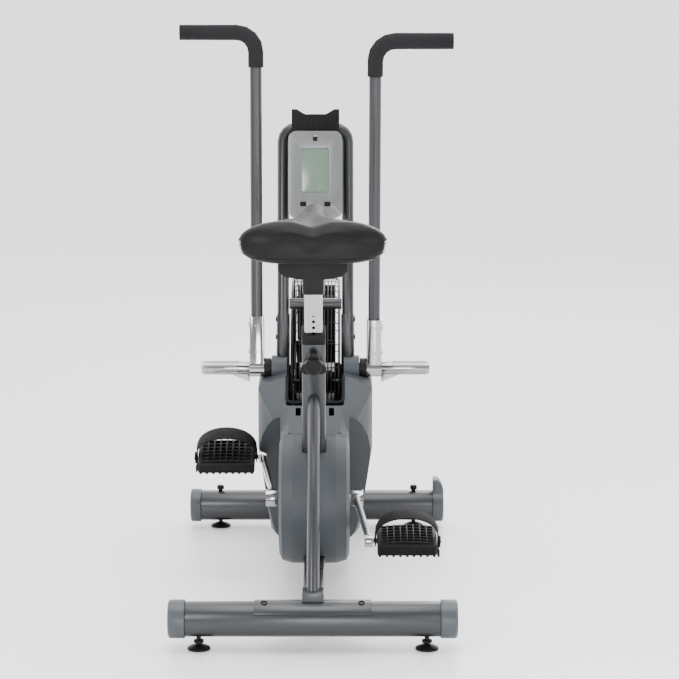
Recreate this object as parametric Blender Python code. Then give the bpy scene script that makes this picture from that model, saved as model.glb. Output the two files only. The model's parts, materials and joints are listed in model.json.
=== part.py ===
"""Air bike: an upright exercise bike braked by a fan, with two swinging arms.

Metres, +Z up. The rider faces +Y and +X is the rider's right. The origin is on the floor, under the
middle of the bike's width. Side -1 is left and side +1 is right.
"""

import math

import bmesh
import bpy
from mathutils import Matrix, Vector

GAP = 0.0003  # between pieces that touch
RUNNING = 0.0004  # radial room around a shaft
STEEL_WALL = 0.0025

# Stabilizers
TUBE_R = 0.038
REAR_Y, REAR_CLEAR, REAR_LENGTH = -0.583, 0.029, 0.619  # clear: floor to tube
FRONT_Y, FRONT_CLEAR, FRONT_LENGTH = 0.437, 0.017, 0.640
REAR_Z, FRONT_Z = REAR_CLEAR + TUBE_R, FRONT_CLEAR + TUBE_R
CAP_WALL, REAR_CAP, FRONT_CAP = 0.0035, 0.036, 0.027
FIN_HEIGHT = 0.028  # of the right front cap above its tube
FOOT_X, FOOT_R, STEM_R = 0.2445, 0.025, 0.005
PLATE = 0.003
REAR_PLATE_WIDTH, FRONT_PLATE_WIDTH = 0.250, 0.160

# Base and seat
BEAM_WIDTH, BEAM_HEIGHT, BEAM_RISE = 0.046, 0.050, 0.025  # rise: above the front tube
BEAM_TOP = FRONT_Z + TUBE_R + BEAM_RISE
BEAM_LOW = BEAM_TOP - BEAM_HEIGHT
RISER_TOP = BEAM_TOP + 0.008
STRUT_R = 0.0135
STRUT_FOOT_Y, STRUT_HEAD = -0.562, 0.139  # head: distance below the seat tube's top
SEAT_LEAN = math.radians(17)
SEAT_TOP_Y, SEAT_TOP_Z = -0.310, 0.623
SEAT_TUBE_WIDTH, SEAT_TUBE_DEPTH = 0.052, 0.050
POST_WIDTH, POST_DEPTH, POST_WALL = 0.040, 0.038, 0.002
POST_ABOVE, POST_BELOW = 0.156, 0.136
HOLE_R, HOLE_PITCH, HOLES, TOP_HOLE = 0.004, 0.015, 12, 0.069
PIN_BELOW = 0.036  # pin axis below the seat tube's top
BUSHING_COLLAR, BUSHING_PLUG = 0.024, 0.028
BOSS_R, BOSS_LENGTH, PIN_R = 0.011, 0.014, 0.0035
KNOB_SPAN, KNOB_THICKNESS = 0.062, 0.013

# Crank
CRANK_Y, CRANK_Z, CRANK_LENGTH = -0.175, 0.230, 0.170
CRANK_ANGLE = math.radians(20)  # of the left crank, above straight ahead
SHELL_R, SHELL_HALF, SPINDLE_R = 0.023, 0.034, 0.0085
CRANK_HUB_X, CRANK_FLARE, CRANK_THICK = 0.098, 0.024, 0.013
PEDAL_AXLE_R, PEDAL_IN, PEDAL_OUT = 0.0065, 0.141, 0.273
PEDAL_DEPTH, PEDAL_THICK = 0.094, 0.026
PEDAL_TILT = {-1: math.radians(22), 1: math.radians(12)}
STRAP_HEIGHT, STRAP_WIDTH, STRAP_THICK, STRAP_TAIL = 0.066, 0.046, 0.003, 0.036

# Fan and belt
FAN_Y, FAN_Z, FAN_R, FAN_HALF = 0.305, 0.400, 0.240, 0.046
CAGE_R, CAGE_HALF, WIRE = 0.262, 0.059, 0.004
AXLE_R = 0.0075
CRANK_PULLEY_R, FAN_PULLEY_R = 0.105, 0.021
BELT_THICK, BELT_IN, BELT_OUT = 0.004, 0.0678, 0.0752

# Mast, arms and pivots
PIVOT_Y, PIVOT_Z, PIVOT_R = 0.095, 0.479, 0.008
MAST_LEAN = math.radians(12)
MAST_X, MAST_R, UPRIGHT_R = 0.0765, 0.0143, 0.0159
UPRIGHT_LOW, UPRIGHT_TOP, MAST_LOW, MAST_TOP = -0.050, 0.127, 0.060, 0.5694
MAST_CORNER = 0.032
CROSSBAR_UP, CROSSBAR_R = 0.152, 0.013
ARM_X, ARM_R, ARM_LENGTH, ARM_BEND, ARM_END = 0.1385, 0.0143, 0.790, 0.045, 0.316
ARM_ANGLE = {-1: math.radians(-3), 1: math.radians(9)}  # about +X: positive leans back
ARM_SWING = math.radians(12)  # either way of the middle, which is 3 degrees back
GRIP_R, GRIP_LOW = 0.0185, 0.709
SOCKET_HALF, SOCKET_TOP = 0.0172, 0.124
PEG_R, PEG_END, GUSSET_DROP, GUSSET_END = 0.015, 0.270, 0.034, 0.178
LEVER_IN, LEVER_THICK, LEVER_LENGTH = 0.0935, 0.005, 0.120
ECCENTRIC_R, ECCENTRIC_IN, ECCENTRIC_OUT = 0.0425, 0.0530, 0.0585
ROD_IN, ROD_OUT = 0.0602, 0.0646
RING_R, RING_WALL = 0.044, 0.007
SIDE_PLATE_IN, SIDE_PLATE_THICK = 0.080, 0.006

# Casing
WALL = 0.0025
DRUM_R, DRUM_HALF, DRUM_FLAT = 0.148, 0.079, 0.048
COVER_R = 0.095
SWEEP_R = 0.195  # the cranks turn inside this
NOSE_R = 0.330  # of the casing's underside around the fan
BELLY_Z = FRONT_Z + TUBE_R + PLATE + 0.002
OPENING_HALF, OPENING_Z = 0.067, 0.420
SHOULDER_DROP = 0.022
HUMP_R, HUMP_END = 0.030, 0.1035
PIVOT_COVER_R = 0.0225
# y, half width and top of the casing, from the drum to the nose
STATIONS = (
    (-0.150, 0.078, 0.376),
    (-0.100, 0.079, 0.394),
    (-0.060, 0.098, 0.420),
    (-0.015, 0.123, 0.455),
    (0.020, 0.134, 0.474),
    (0.130, 0.134, 0.480),
    (0.220, 0.125, 0.462),
    (0.305, 0.114, 0.446),
    (0.397, 0.101, 0.430),
    (0.480, 0.087, 0.415),
    (0.550, 0.075, 0.402),
    (0.600, 0.069, 0.392),
    (0.6245, 0.062, 0.382),
)

# Console, in the mast's frame
FACE_HALF, FACE_HEIGHT, FACE_DROP = 0.0635, 0.206, 0.0114  # drop: below the mast's top
FACE_TOP = MAST_TOP - FACE_DROP
FACE_LOW = FACE_TOP - FACE_HEIGHT
HOUSING_DEPTH, FACE_THICK = 0.030, 0.004
WINDOW_HALF, WINDOW_LOW, WINDOW_TOP = 0.032, FACE_LOW + 0.0606, FACE_TOP - 0.0406
BUTTON_X, BUTTON_UP, BUTTON_R = 0.0285, FACE_LOW + 0.0335, 0.007
RACK_HALF, RACK_TOP, RACK_THICK = 0.0565, FACE_TOP + 0.054, 0.014

# Saddle
SADDLE_HALF, SADDLE_REAR, SADDLE_NOSE = 0.1625, -0.522, -0.212
PAN_HALF, PAN_LOW, PAN_TOP = 0.074, 0.7785, 0.820


def place(x=0.0, y=0.0, z=0.0):
    return Matrix.Translation((x, y, z))


def turn_x(angle):
    return Matrix.Rotation(angle, 4, "X")


ALONG_X = Matrix(((0, 0, 1, 0), (1, 0, 0, 0), (0, 1, 0, 0), (0, 0, 0, 1)))  # (y, z, x)
FACING = Matrix(((1, 0, 0, 0), (0, 0, -1, 0), (0, 1, 0, 0), (0, 0, 0, 1)))  # (x, z, -y)
SEAT_FRAME = place(0, SEAT_TOP_Y, SEAT_TOP_Z) @ turn_x(SEAT_LEAN)
MAST_FRAME = place(0, PIVOT_Y, PIVOT_Z) @ turn_x(-MAST_LEAN)
PIVOT_AXIS = place(0, PIVOT_Y, PIVOT_Z) @ ALONG_X
CRANK_AXIS = place(0, CRANK_Y, CRANK_Z) @ ALONG_X
FAN_AXIS = place(0, FAN_Y, FAN_Z) @ ALONG_X
PIN_AXIS = SEAT_FRAME @ place(0, 0, -PIN_BELOW) @ turn_x(math.radians(90))  # +Z points back


# --- materials ---------------------------------------------------------------------------------

COLOURS = {
    "frame_grey": ((0.075, 0.078, 0.084, 1), 0.42, 0.6),
    "casing_grey": ((0.080, 0.095, 0.110, 1), 0.50, 0.0),
    "cap_plastic": ((0.065, 0.080, 0.090, 1), 0.45, 0.0),
    "black_plastic": ((0.015, 0.015, 0.016, 1), 0.45, 0.0),
    "rubber": ((0.018, 0.018, 0.019, 1), 0.80, 0.0),
    "foam": ((0.030, 0.030, 0.033, 1), 0.90, 0.0),
    "chrome": ((0.70, 0.70, 0.71, 1), 0.12, 1.0),
    "black_steel": ((0.020, 0.020, 0.022, 1), 0.40, 0.8),
    "vinyl": ((0.012, 0.012, 0.013, 1), 0.40, 0.0),
    "silver": ((0.45, 0.46, 0.48, 1), 0.30, 0.7),
    "lcd": ((0.27, 0.37, 0.29, 1), 0.15, 0.0),
    "aluminium": ((0.40, 0.40, 0.42, 1), 0.35, 1.0),
}


def material(name):
    found = bpy.data.materials.get(name)
    if found:
        return found
    colour, roughness, metallic = COLOURS[name]
    made = bpy.data.materials.new(name)
    made.use_nodes = True
    made.diffuse_color = colour
    shader = made.node_tree.nodes["Principled BSDF"]
    shader.inputs["Base Color"].default_value = colour
    shader.inputs["Roughness"].default_value = roughness
    shader.inputs["Metallic"].default_value = metallic
    return made


# --- shapes, each a bmesh in world space ----------------------------------------------------------


def bridge(bm, first, second):
    """Faces between two rings of vertices; a ring of one vertex is a point."""
    count = max(len(first), len(second))
    for i in range(count):
        j = (i + 1) % count
        a, b = first[i % len(first)], first[j % len(first)]
        c, d = second[j % len(second)], second[i % len(second)]
        corners = list(dict.fromkeys((a, b, c, d)))
        bm.faces.new(corners)


def loft(rings, loop=False):
    """A solid through rings of points. A loop closes on its first ring and has no end caps."""
    bm = bmesh.new()
    made = [[bm.verts.new(point) for point in ring] for ring in rings]
    following = made[1:] + made[:1] if loop else made[1:]
    for first, second in zip(made, following):
        bridge(bm, first, second)
    if not loop:
        for end in (made[0], made[-1]):
            if len(end) > 2:
                bm.faces.new(end)
    bmesh.ops.recalc_face_normals(bm, faces=bm.faces)
    return bm


def circle(radius, sides, frame, height=0.0):
    if radius == 0:
        return [frame @ Vector((0, 0, height))]
    step = 2 * math.pi / sides
    return [
        frame @ Vector((radius * math.cos(i * step), radius * math.sin(i * step), height))
        for i in range(sides)
    ]


def turned(profile, frame, sides=20, loop=False):
    """A turned solid from (radius, height) points along the frame's Z."""
    return loft([circle(radius, sides, frame, height) for radius, height in profile], loop)


def rod(radius, low, high, frame, sides=16):
    return turned([(radius, low), (radius, high)], frame, sides)


def sleeve(bore, radius, low, high, frame, sides=20):
    profile = [(radius, low), (radius, high), (bore, high), (bore, low)]
    return turned(profile, frame, sides, loop=True)


def prism(outline, low, high, frame):
    """A flat outline in the frame's XY plane, extruded along its Z."""
    return loft([[frame @ Vector((x, y, z)) for x, y in outline] for z in (low, high)])


def box(low, high, frame=Matrix()):
    outline = [(low[0], low[1]), (high[0], low[1]), (high[0], high[1]), (low[0], high[1])]
    return prism(outline, low[2], high[2], frame)


def rounded(half_x, half_y, radius, steps=2, centre=(0.0, 0.0)):
    """A rectangle with round corners."""
    points = []
    for quarter, (sx, sy) in enumerate(((1, 1), (-1, 1), (-1, -1), (1, -1))):
        for i in range(steps + 1):
            angle = math.pi / 2 * (quarter + i / steps)
            x = sx * (half_x - radius) + radius * math.cos(angle)
            y = sy * (half_y - radius) + radius * math.sin(angle)
            points.append((centre[0] + x, centre[1] + y))
    return points


def arc(centre, radius, start, end, steps):
    """Points along an arc, with angles in degrees."""
    angles = [math.radians(start + (end - start) * i / steps) for i in range(steps + 1)]
    return [
        (centre[0] + radius * math.cos(a), centre[1] + radius * math.sin(a)) for a in angles
    ]


def hollow_prism(outer, inner, low, high, frame):
    """A tube of any section, open at both ends."""
    rings = [(outer, low), (outer, high), (inner, high), (inner, low)]
    return loft([[frame @ Vector((x, y, z)) for x, y in o] for o, z in rings], loop=True)


def path_rings(path, radius, sides, across):
    """Circles along a path that stays at right angles to the vector across."""
    rings = []
    for i, point in enumerate(path):
        before, after = path[max(i - 1, 0)], path[min(i + 1, len(path) - 1)]
        tangent = (after - before).normalized()
        side = across.cross(tangent).normalized()
        bend = 1.0
        if 0 < i < len(path) - 1:
            bend = 1 / max(0.5, (point - before).normalized().dot(tangent))
        rings.append(
            [
                point
                + across * radius * math.cos(2 * math.pi * k / sides)
                + side * radius * bend * math.sin(2 * math.pi * k / sides)
                for k in range(sides)
            ]
        )
    return rings


def pipe(path, radius, bore, sides, across):
    outer = path_rings(path, radius, sides, across)
    inner = path_rings(path, bore, sides, across)
    return loft(outer + inner[::-1], loop=True)


# --- objects ------------------------------------------------------------------------------------


def put(name, bm, material_name, origin=None):
    """The named object, with its origin moved to a point on its joint's axis."""
    origin = Vector(origin or (0, 0, 0))
    bmesh.ops.recalc_face_normals(bm, faces=bm.faces)
    bmesh.ops.translate(bm, vec=-origin, verts=bm.verts)
    mesh = bpy.data.meshes.new(name)
    bm.to_mesh(mesh)
    bm.free()
    mesh.shade_smooth()
    mesh.set_sharp_from_angle(angle=math.radians(32))
    mesh.materials.append(material(material_name))
    obj = bpy.data.objects.new(name, mesh)
    obj.location = origin
    bpy.context.scene.collection.objects.link(obj)
    return obj


def helper(owner, bm):
    """A shape that only cuts or extends its owner."""
    tool = put(f"{owner.name}_tool", bm, "black_steel")
    tool.hide_render = True
    tool.display_type = "WIRE"
    return tool


def boolean(owner, tool, operation):
    step = owner.modifiers.new(operation.title(), "BOOLEAN")
    step.operation = operation
    thin_shell = owner.name.startswith("shroud")
    step.solver = "MANIFOLD" if thin_shell else "EXACT"
    step.object = tool


def cut(owner, *shapes):
    for shape in shapes:
        boolean(owner, helper(owner, shape), "DIFFERENCE")


def join(owner, *shapes):
    for shape in shapes:
        boolean(owner, helper(owner, shape), "UNION")


def name_of(side):
    return "left" if side < 0 else "right"


def side_span(side, low, high):
    """Heights along X for a piece between |x| = low and |x| = high on one side."""
    return (low, high) if side > 0 else (-high, -low)


# --- stabilizers and base -----------------------------------------------------------------------


def stabilizer(name, y, z, length, cap_length):
    tube_half = length / 2 - CAP_WALL - GAP
    frame = place(0, y, z) @ ALONG_X
    tube = put(name, sleeve(TUBE_R - STEEL_WALL, TUBE_R, -tube_half, tube_half, frame), "frame_grey")
    for side in (-1, 1):
        foot_side = name_of(side)
        part = name.split("_")[1]
        top = z + TUBE_R + 0.002 if part == "front" else z
        cut(tube, rod(STEM_R + 0.001, 0.010, top, place(side * FOOT_X, y, 0), 12))
        end_cap(f"cap_{part}_{foot_side}", side, frame, length, cap_length)
        foot(f"foot_{part}_{foot_side}", side, y, z, part == "front")


def end_cap(name, side, frame, length, cap_length):
    """A cup over the tube's end; the right front one carries a fin above the tube."""
    end, outer, bore = length / 2, TUBE_R + CAP_WALL, TUBE_R + GAP
    profile = [
        (0, side * (end - CAP_WALL)),
        (bore, side * (end - CAP_WALL)),
        (bore, side * (end - cap_length)),
        (outer, side * (end - cap_length)),
        (outer, side * (end - 0.004)),
        (outer - 0.004, side * end),
        (0, side * end),
    ]
    cap = put(name, turned(profile, frame), "cap_plastic")
    if name == "cap_front_right":
        top = outer + FIN_HEIGHT
        outline = [(end - cap_length, 0.030), (end - 0.0005, 0.020)]
        outline += [(end - 0.0005, 0.045), (end - 0.006, 0.060), (end - 0.015, top)]
        outline += [(end - cap_length, top)]
        at_tube = place(0, frame.translation.y, frame.translation.z)
        join(cap, prism(outline, -0.020, 0.020, at_tube @ FACING))
        cut(cap, rod(bore, end - cap_length - 0.01, end - CAP_WALL, frame, 20))


def foot(name, side, y, z, through):
    """A levelling foot: disc, stem, and a wing nut or, through the tube, an adjuster cap."""
    frame = place(side * FOOT_X, y, 0)
    profile = [(0, 0), (FOOT_R, 0), (FOOT_R, 0.004), (0.012, 0.010), (STEM_R, 0.0115)]
    if through:
        top = z + TUBE_R + 0.004
        profile += [(STEM_R, top), (0.009, top), (0.009, top + 0.008), (0.007, top + 0.010)]
        profile += [(0, top + 0.010)]
    else:
        profile += [(STEM_R, 0.014), (0.011, 0.015), (0.011, 0.021), (STEM_R, 0.022)]
        profile += [(STEM_R, z - 0.010), (0, z - 0.010)]
    put(name, turned(profile, frame, 12), "black_plastic", (side * FOOT_X, y, 0))


def saddle_plate(y, z, start, end, half_width):
    """A curved plate over a stabilizer, still to be cut by the tube, between two angles."""
    inner, outer = TUBE_R - 0.002, TUBE_R + GAP + PLATE
    outline = arc((0, 0), outer, 180 - start, 180 - end, 8)
    outline += arc((0, 0), inner, 180 - end, 180 - start, 8)
    return prism(outline, -half_width, half_width, place(0, y, z) @ ALONG_X)


def base():
    rear_front = REAR_Y + TUBE_R + PLATE + 2 * GAP
    riser_low = REAR_Z + TUBE_R + PLATE / 2
    half = BEAM_WIDTH / 2
    bracket = put("rear_bracket", saddle_plate(REAR_Y, REAR_Z, 28, 175, REAR_PLATE_WIDTH / 2), "frame_grey")
    join(bracket, box((-half, REAR_Y - 0.012, riser_low), (half, rear_front - 0.004, RISER_TOP)))
    cut(bracket, rod(TUBE_R + GAP, -0.2, 0.2, place(0, REAR_Y, REAR_Z) @ ALONG_X, 20))
    front_end = FRONT_Y - 0.004
    beam_z = (BEAM_LOW + BEAM_TOP) / 2
    half_z = (BEAM_TOP - BEAM_LOW) / 2
    outer = rounded(half, half_z, 0.006, centre=(0, beam_z))
    inner = rounded(half - STEEL_WALL, half_z - STEEL_WALL, 0.004, centre=(0, beam_z))
    beam = put("base_beam", hollow_prism(outer, inner, -front_end, -rear_front, FACING), "frame_grey")
    join(beam, saddle_plate(FRONT_Y, FRONT_Z, -15, 100, FRONT_PLATE_WIDTH / 2))
    cut(beam, rod(TUBE_R + GAP, -0.1, 0.1, place(0, FRONT_Y, FRONT_Z) @ ALONG_X, 20))


def rear_strut():
    """A round tube from the riser to the seat tube, its ends cut to the faces they meet."""
    foot_point = Vector((0, STRUT_FOOT_Y, RISER_TOP + GAP))
    seat = SEAT_FRAME.to_3x3()
    normal = seat @ Vector((0, -1, 0))
    face = SEAT_FRAME @ Vector((0, -SEAT_TUBE_DEPTH / 2 - GAP, -STRUT_HEAD))
    along = (face - foot_point).normalized()
    across = Vector((1, 0, 0))
    up = along.cross(across)

    def ring(radius, point, plane):
        points = []
        for k in range(14):
            angle = 2 * math.pi * k / 14
            start = point + across * radius * math.cos(angle) + up * radius * math.sin(angle)
            points.append(start + along * (point - start).dot(plane) / along.dot(plane))
        return points

    floor = Vector((0, 0, 1))
    bore = STRUT_R - STEEL_WALL
    rings = [ring(STRUT_R, foot_point, floor), ring(STRUT_R, face, normal)]
    rings += [ring(bore, face, normal), ring(bore, foot_point, floor)]
    put("rear_strut", loft(rings, loop=True), "frame_grey")


def seat_tube():
    half_x, half_y = SEAT_TUBE_WIDTH / 2, SEAT_TUBE_DEPTH / 2
    length = (SEAT_TOP_Z - CRANK_Z) / math.cos(SEAT_LEAN)
    outer = rounded(half_x, half_y, 0.006)
    inner = rounded(half_x - STEEL_WALL, half_y - STEEL_WALL, 0.0035)
    tube = put("seat_tube", hollow_prism(outer, inner, -length, 0, SEAT_FRAME), "frame_grey")
    low = half_y - STEEL_WALL / 2
    join(tube, rod(BOSS_R, low, half_y + BOSS_LENGTH, PIN_AXIS))
    cut(tube, rod(SHELL_R + 2 * GAP, -0.05, 0.05, CRANK_AXIS, 20))
    cut(tube, rod(PIN_R + RUNNING, 0.010, half_y + BOSS_LENGTH + 0.01, PIN_AXIS, 16))
    cut(tube, box((-0.05, CRANK_Y - 0.1, 0), (0.05, CRANK_Y + 0.1, CRANK_Z)))

    collar = rounded(half_x + 0.001, half_y + 0.001, 0.007)
    plug = rounded(half_x - STEEL_WALL - GAP, half_y - STEEL_WALL - GAP, 0.003)
    bore = rounded(POST_WIDTH / 2 + RUNNING, POST_DEPTH / 2 + RUNNING, 0.003)
    rings = [(bore, -BUSHING_PLUG), (plug, -BUSHING_PLUG), (plug, GAP), (collar, GAP)]
    rings += [(collar, BUSHING_COLLAR), (bore, BUSHING_COLLAR)]
    bushing = loft([[SEAT_FRAME @ Vector((x, y, z)) for x, y in o] for o, z in rings], loop=True)
    put("post_bushing", bushing, "black_plastic")


def seat_post():
    half_x, half_y = POST_WIDTH / 2, POST_DEPTH / 2
    outer = rounded(half_x, half_y, 0.004)
    inner = rounded(half_x - POST_WALL, half_y - POST_WALL, 0.0025)
    shape = hollow_prism(outer, inner, -POST_BELOW, POST_ABOVE, SEAT_FRAME)
    post = put("seat_post", shape, "chrome", SEAT_FRAME.translation)
    for i in range(HOLES):
        height = TOP_HOLE - i * HOLE_PITCH
        frame = SEAT_FRAME @ place(0, 0, height) @ turn_x(math.radians(90))
        cut(post, rod(HOLE_R, half_y - 2 * POST_WALL, half_y + 0.004, frame, 6))


def pop_pin():
    """A spring pin behind a three-lobed knob. Its tip stops just short of the post."""
    tip = POST_DEPTH / 2 + 2 * GAP
    knob = SEAT_TUBE_DEPTH / 2 + BOSS_LENGTH + 0.003
    lobes = []
    for i in range(24):
        angle = 2 * math.pi * i / 24
        radius = KNOB_SPAN / 2 * (0.78 + 0.22 * math.cos(3 * (angle - math.pi / 2)))
        lobes.append((radius * math.cos(angle), radius * math.sin(angle)))
    shape = prism(lobes, knob, knob + KNOB_THICKNESS, PIN_AXIS)
    pin = put("pop_pin", shape, "black_plastic", PIN_AXIS @ Vector((0, 0, knob)))
    top = knob + KNOB_THICKNESS
    join(pin, rod(PIN_R, tip, knob + 0.002, PIN_AXIS, 16))
    join(pin, turned([(0.0195, top - 0.002), (0.0195, top + 0.006), (0.016, top + 0.009)], PIN_AXIS))


def bottom_bracket():
    shell = put("bb_shell", rod(SHELL_R, -SHELL_HALF, SHELL_HALF, CRANK_AXIS, 20), "frame_grey")
    half = BEAM_WIDTH / 2 - 0.003
    join(shell, box((-half, CRANK_Y - 0.02, BEAM_TOP + GAP), (half, CRANK_Y + 0.02, CRANK_Z - 0.012)))
    cut(shell, rod(SPINDLE_R + RUNNING, -0.05, 0.05, CRANK_AXIS))


# --- saddle ---------------------------------------------------------------------------------------


def saddle_ring(t):
    """The saddle's section, from the rear (t = 0) to the nose (t = 1)."""
    y = SADDLE_REAR + (SADDLE_NOSE - SADDLE_REAR) * t
    wide = 0.5 * (1 + math.cos(math.pi * min(1, max(0, (t - 0.16) / 0.62))))
    half = 0.036 + (SADDLE_HALF - 0.036) * wide
    half *= math.sqrt(max(0.02, 1 - (max(0, 0.13 - t) / 0.16) ** 2))
    half *= math.sqrt(max(0.02, 1 - (max(0, t - 0.88) / 0.13) ** 2))
    top = 0.912 - 0.012 * math.sin(math.pi * t) + 0.008 * t - 0.30 * max(0, 0.10 - t)
    low = PAN_TOP + 2 * GAP + 0.10 * max(0, t - 0.85)
    lobes = 0.014 * (1 - t) ** 2
    ring = []
    for k in range(16):
        angle = 2 * math.pi * k / 16
        c, s = math.cos(angle), math.sin(angle)
        x = half * math.copysign(abs(c) ** 0.7, c)
        rise = math.copysign(abs(s) ** 0.75, s)
        z = (top + low) / 2 + (top - low) / 2 * rise
        if s > 0:
            z -= (lobes + 0.018) * abs(c) ** 3 * s + lobes * (1 - min(1, abs(x) / 0.05)) * s
        ring.append(Vector((x, y, z)))
    return ring


def saddle():
    rings = [saddle_ring(i / 10) for i in range(11)]
    put("saddle", loft(rings), "vinyl", SEAT_FRAME.translation)
    outline = [(-PAN_HALF, PAN_TOP), (-PAN_HALF, PAN_LOW + 0.018), (-PAN_HALF + 0.012, PAN_LOW + 0.006)]
    outline += [(-0.028, PAN_LOW), (0.028, PAN_LOW)]
    outline += [(PAN_HALF - 0.012, PAN_LOW + 0.006), (PAN_HALF, PAN_LOW + 0.018), (PAN_HALF, PAN_TOP)]
    top = SEAT_FRAME @ Vector((0, 0, POST_ABOVE))
    pan = prism(outline, -top.y - 0.075, -top.y + 0.085, FACING)
    put("saddle_pan", pan, "black_plastic", SEAT_FRAME.translation)
    low, wall = POST_ABOVE - 0.034, POST_WIDTH / 2 + GAP
    bore = rounded(wall, POST_DEPTH / 2 + GAP, 0.004)
    outer = rounded(wall + 0.0035, POST_DEPTH / 2 + 0.0038, 0.006)
    clamp = put(
        "saddle_clamp", hollow_prism(outer, bore, low, POST_ABOVE + 0.02, SEAT_FRAME), "black_steel",
        SEAT_FRAME.translation,
    )
    cut(clamp, box((-0.1, top.y - 0.1, PAN_LOW - GAP), (0.1, top.y + 0.1, PAN_LOW + 0.1)))


# --- crank, pedals ------------------------------------------------------------------------------------


def crank_direction(side):
    angle = CRANK_ANGLE if side < 0 else CRANK_ANGLE + math.pi
    return Vector((0, math.cos(angle), math.sin(angle)))


def crank(side):
    """An arm that flares out from the spindle to the pedal, with its pedal axle."""
    hub = Vector((side * CRANK_HUB_X, CRANK_Y, CRANK_Z))
    along = crank_direction(side)
    eye = hub + along * CRANK_LENGTH + Vector((side * CRANK_FLARE, 0, 0))
    across = along.cross(Vector((1, 0, 0)))
    rings = []
    for t, wide, flare in ((0, 0.030, 0), (0.15, 0.027, 0), (0.8, 0.022, 0.85), (1, 0.022, 1)):
        centre = hub + along * CRANK_LENGTH * t + Vector((side * CRANK_FLARE * flare, 0, 0))
        section = rounded(CRANK_THICK / 2, wide / 2, 0.004)
        rings.append([centre + Vector((x, 0, 0)) + across * y for x, y in section])
    name = name_of(side)
    arm = put(f"crank_{name}", loft(rings), "chrome", hub)
    hub_low, hub_high = side_span(side, CRANK_HUB_X - 0.013, CRANK_HUB_X + 0.013)
    join(arm, rod(0.020, hub_low, hub_high, CRANK_AXIS))
    eye_frame = place(0, eye.y, eye.z) @ ALONG_X
    join(arm, rod(0.0145, *side_span(side, abs(eye.x) - 0.009, abs(eye.x) + 0.009), eye_frame))
    join(arm, rod(PEDAL_AXLE_R, *side_span(side, abs(eye.x), PEDAL_OUT - 0.012), eye_frame, 16))
    cut(arm, rod(SPINDLE_R + GAP, *side_span(side, 0.05, 0.2), CRANK_AXIS))
    return eye


def pedal(side, eye):
    """A platform with a rounded toe edge, turning on the crank's axle, and its toe strap."""
    frame = place(0, eye.y, eye.z) @ turn_x(PEDAL_TILT[side]) @ ALONG_X
    name = name_of(side)
    half = PEDAL_DEPTH / 2
    outline = [(-half, -PEDAL_THICK / 2), (half - 0.012, -PEDAL_THICK / 2), (half, 0)]
    outline += [(half - 0.006, PEDAL_THICK / 2), (-half, PEDAL_THICK / 2)]
    low, high = side_span(side, PEDAL_IN, PEDAL_OUT)
    body = put(f"pedal_{name}", prism(outline, low, high, frame), "black_plastic", eye)
    bevel = body.modifiers.new("Bevel", "BEVEL")
    bevel.width = 0.002
    bevel.segments = 1
    cut(body, rod(PEDAL_AXLE_R + RUNNING, *side_span(side, 0.10, PEDAL_OUT - 0.010), frame))

    reach, base_z = (PEDAL_OUT - PEDAL_IN) / 2 + GAP + 0.002, -PEDAL_THICK / 2 + 0.003
    middle = (PEDAL_OUT + PEDAL_IN) / 2
    inner, outer = [], []
    steps = 14
    for i in range(steps + 1):
        angle = math.pi * i / steps
        x, z = math.cos(angle), math.sin(angle) ** 0.8
        inner.append((middle + reach * x, 0.010 + (STRAP_HEIGHT - STRAP_THICK - 0.010) * z))
        outer.append((middle + (reach + STRAP_THICK) * x, 0.010 + (STRAP_HEIGHT - 0.010) * z))
    inner = [(middle + reach, -STRAP_TAIL)] + inner + [(middle - reach, base_z)]
    outer = [(middle + reach + STRAP_THICK, -STRAP_TAIL)] + outer + [(middle - reach - STRAP_THICK, base_z)]
    rings = []
    for i, (near, far) in enumerate(zip(inner, outer)):
        share = i / (len(inner) - 1)
        width = 0.55 + 0.45 * math.sin(math.pi * share)
        half_width = STRAP_WIDTH / 2 * width
        corners = ((near, -half_width), (far, -half_width), (far, half_width), (near, half_width))
        rings.append([frame @ Vector((y + 0.004, z, side * x)) for (x, z), y in corners])
    strap = put(f"pedal_strap_{name}", loft(rings), "rubber", eye)
    cut(strap, rod(PEDAL_AXLE_R + 0.002, *side_span(side, 0.10, PEDAL_OUT - 0.050), frame))


def spindle():
    """The crank spindle with an eccentric for each swing arm's link."""
    end = CRANK_HUB_X + 0.010
    shaft = put("spindle", rod(SPINDLE_R, -end, end, CRANK_AXIS), "aluminium", CRANK_AXIS.translation)
    for side in (-1, 1):
        centre = eccentric_centre(side)
        frame = place(0, centre.y, centre.z) @ ALONG_X
        join(shaft, rod(ECCENTRIC_R, *side_span(side, ECCENTRIC_IN, ECCENTRIC_OUT), frame, 20))


def eccentric_centre(side):
    """Where the eccentric is when this arm is at its rest angle, above (left) or below (right)."""
    throw = LEVER_LENGTH * math.sin(ARM_SWING)
    middle = (ARM_ANGLE[-1] + ARM_ANGLE[1]) / 2
    share = math.sin(ARM_ANGLE[side] - middle) / math.sin(ARM_SWING)
    return Vector((0, CRANK_Y + throw * share, CRANK_Z - side * throw * math.sqrt(1 - share**2)))


def crank_pulley():
    rim = CRANK_PULLEY_R
    profile = [(SPINDLE_R + GAP, BELT_IN - 0.0006), (rim, BELT_IN - 0.0006), (rim, BELT_OUT + 0.0004)]
    profile += [(rim - 0.010, BELT_OUT + 0.0004), (rim - 0.012, BELT_IN + 0.003)]
    profile += [(SPINDLE_R + GAP, BELT_IN + 0.003)]
    shape = turned(profile, CRANK_AXIS, 28, loop=True)
    put("crank_pulley", shape, "black_plastic", CRANK_AXIS.translation)


# --- fan ------------------------------------------------------------------------------------------


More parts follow.
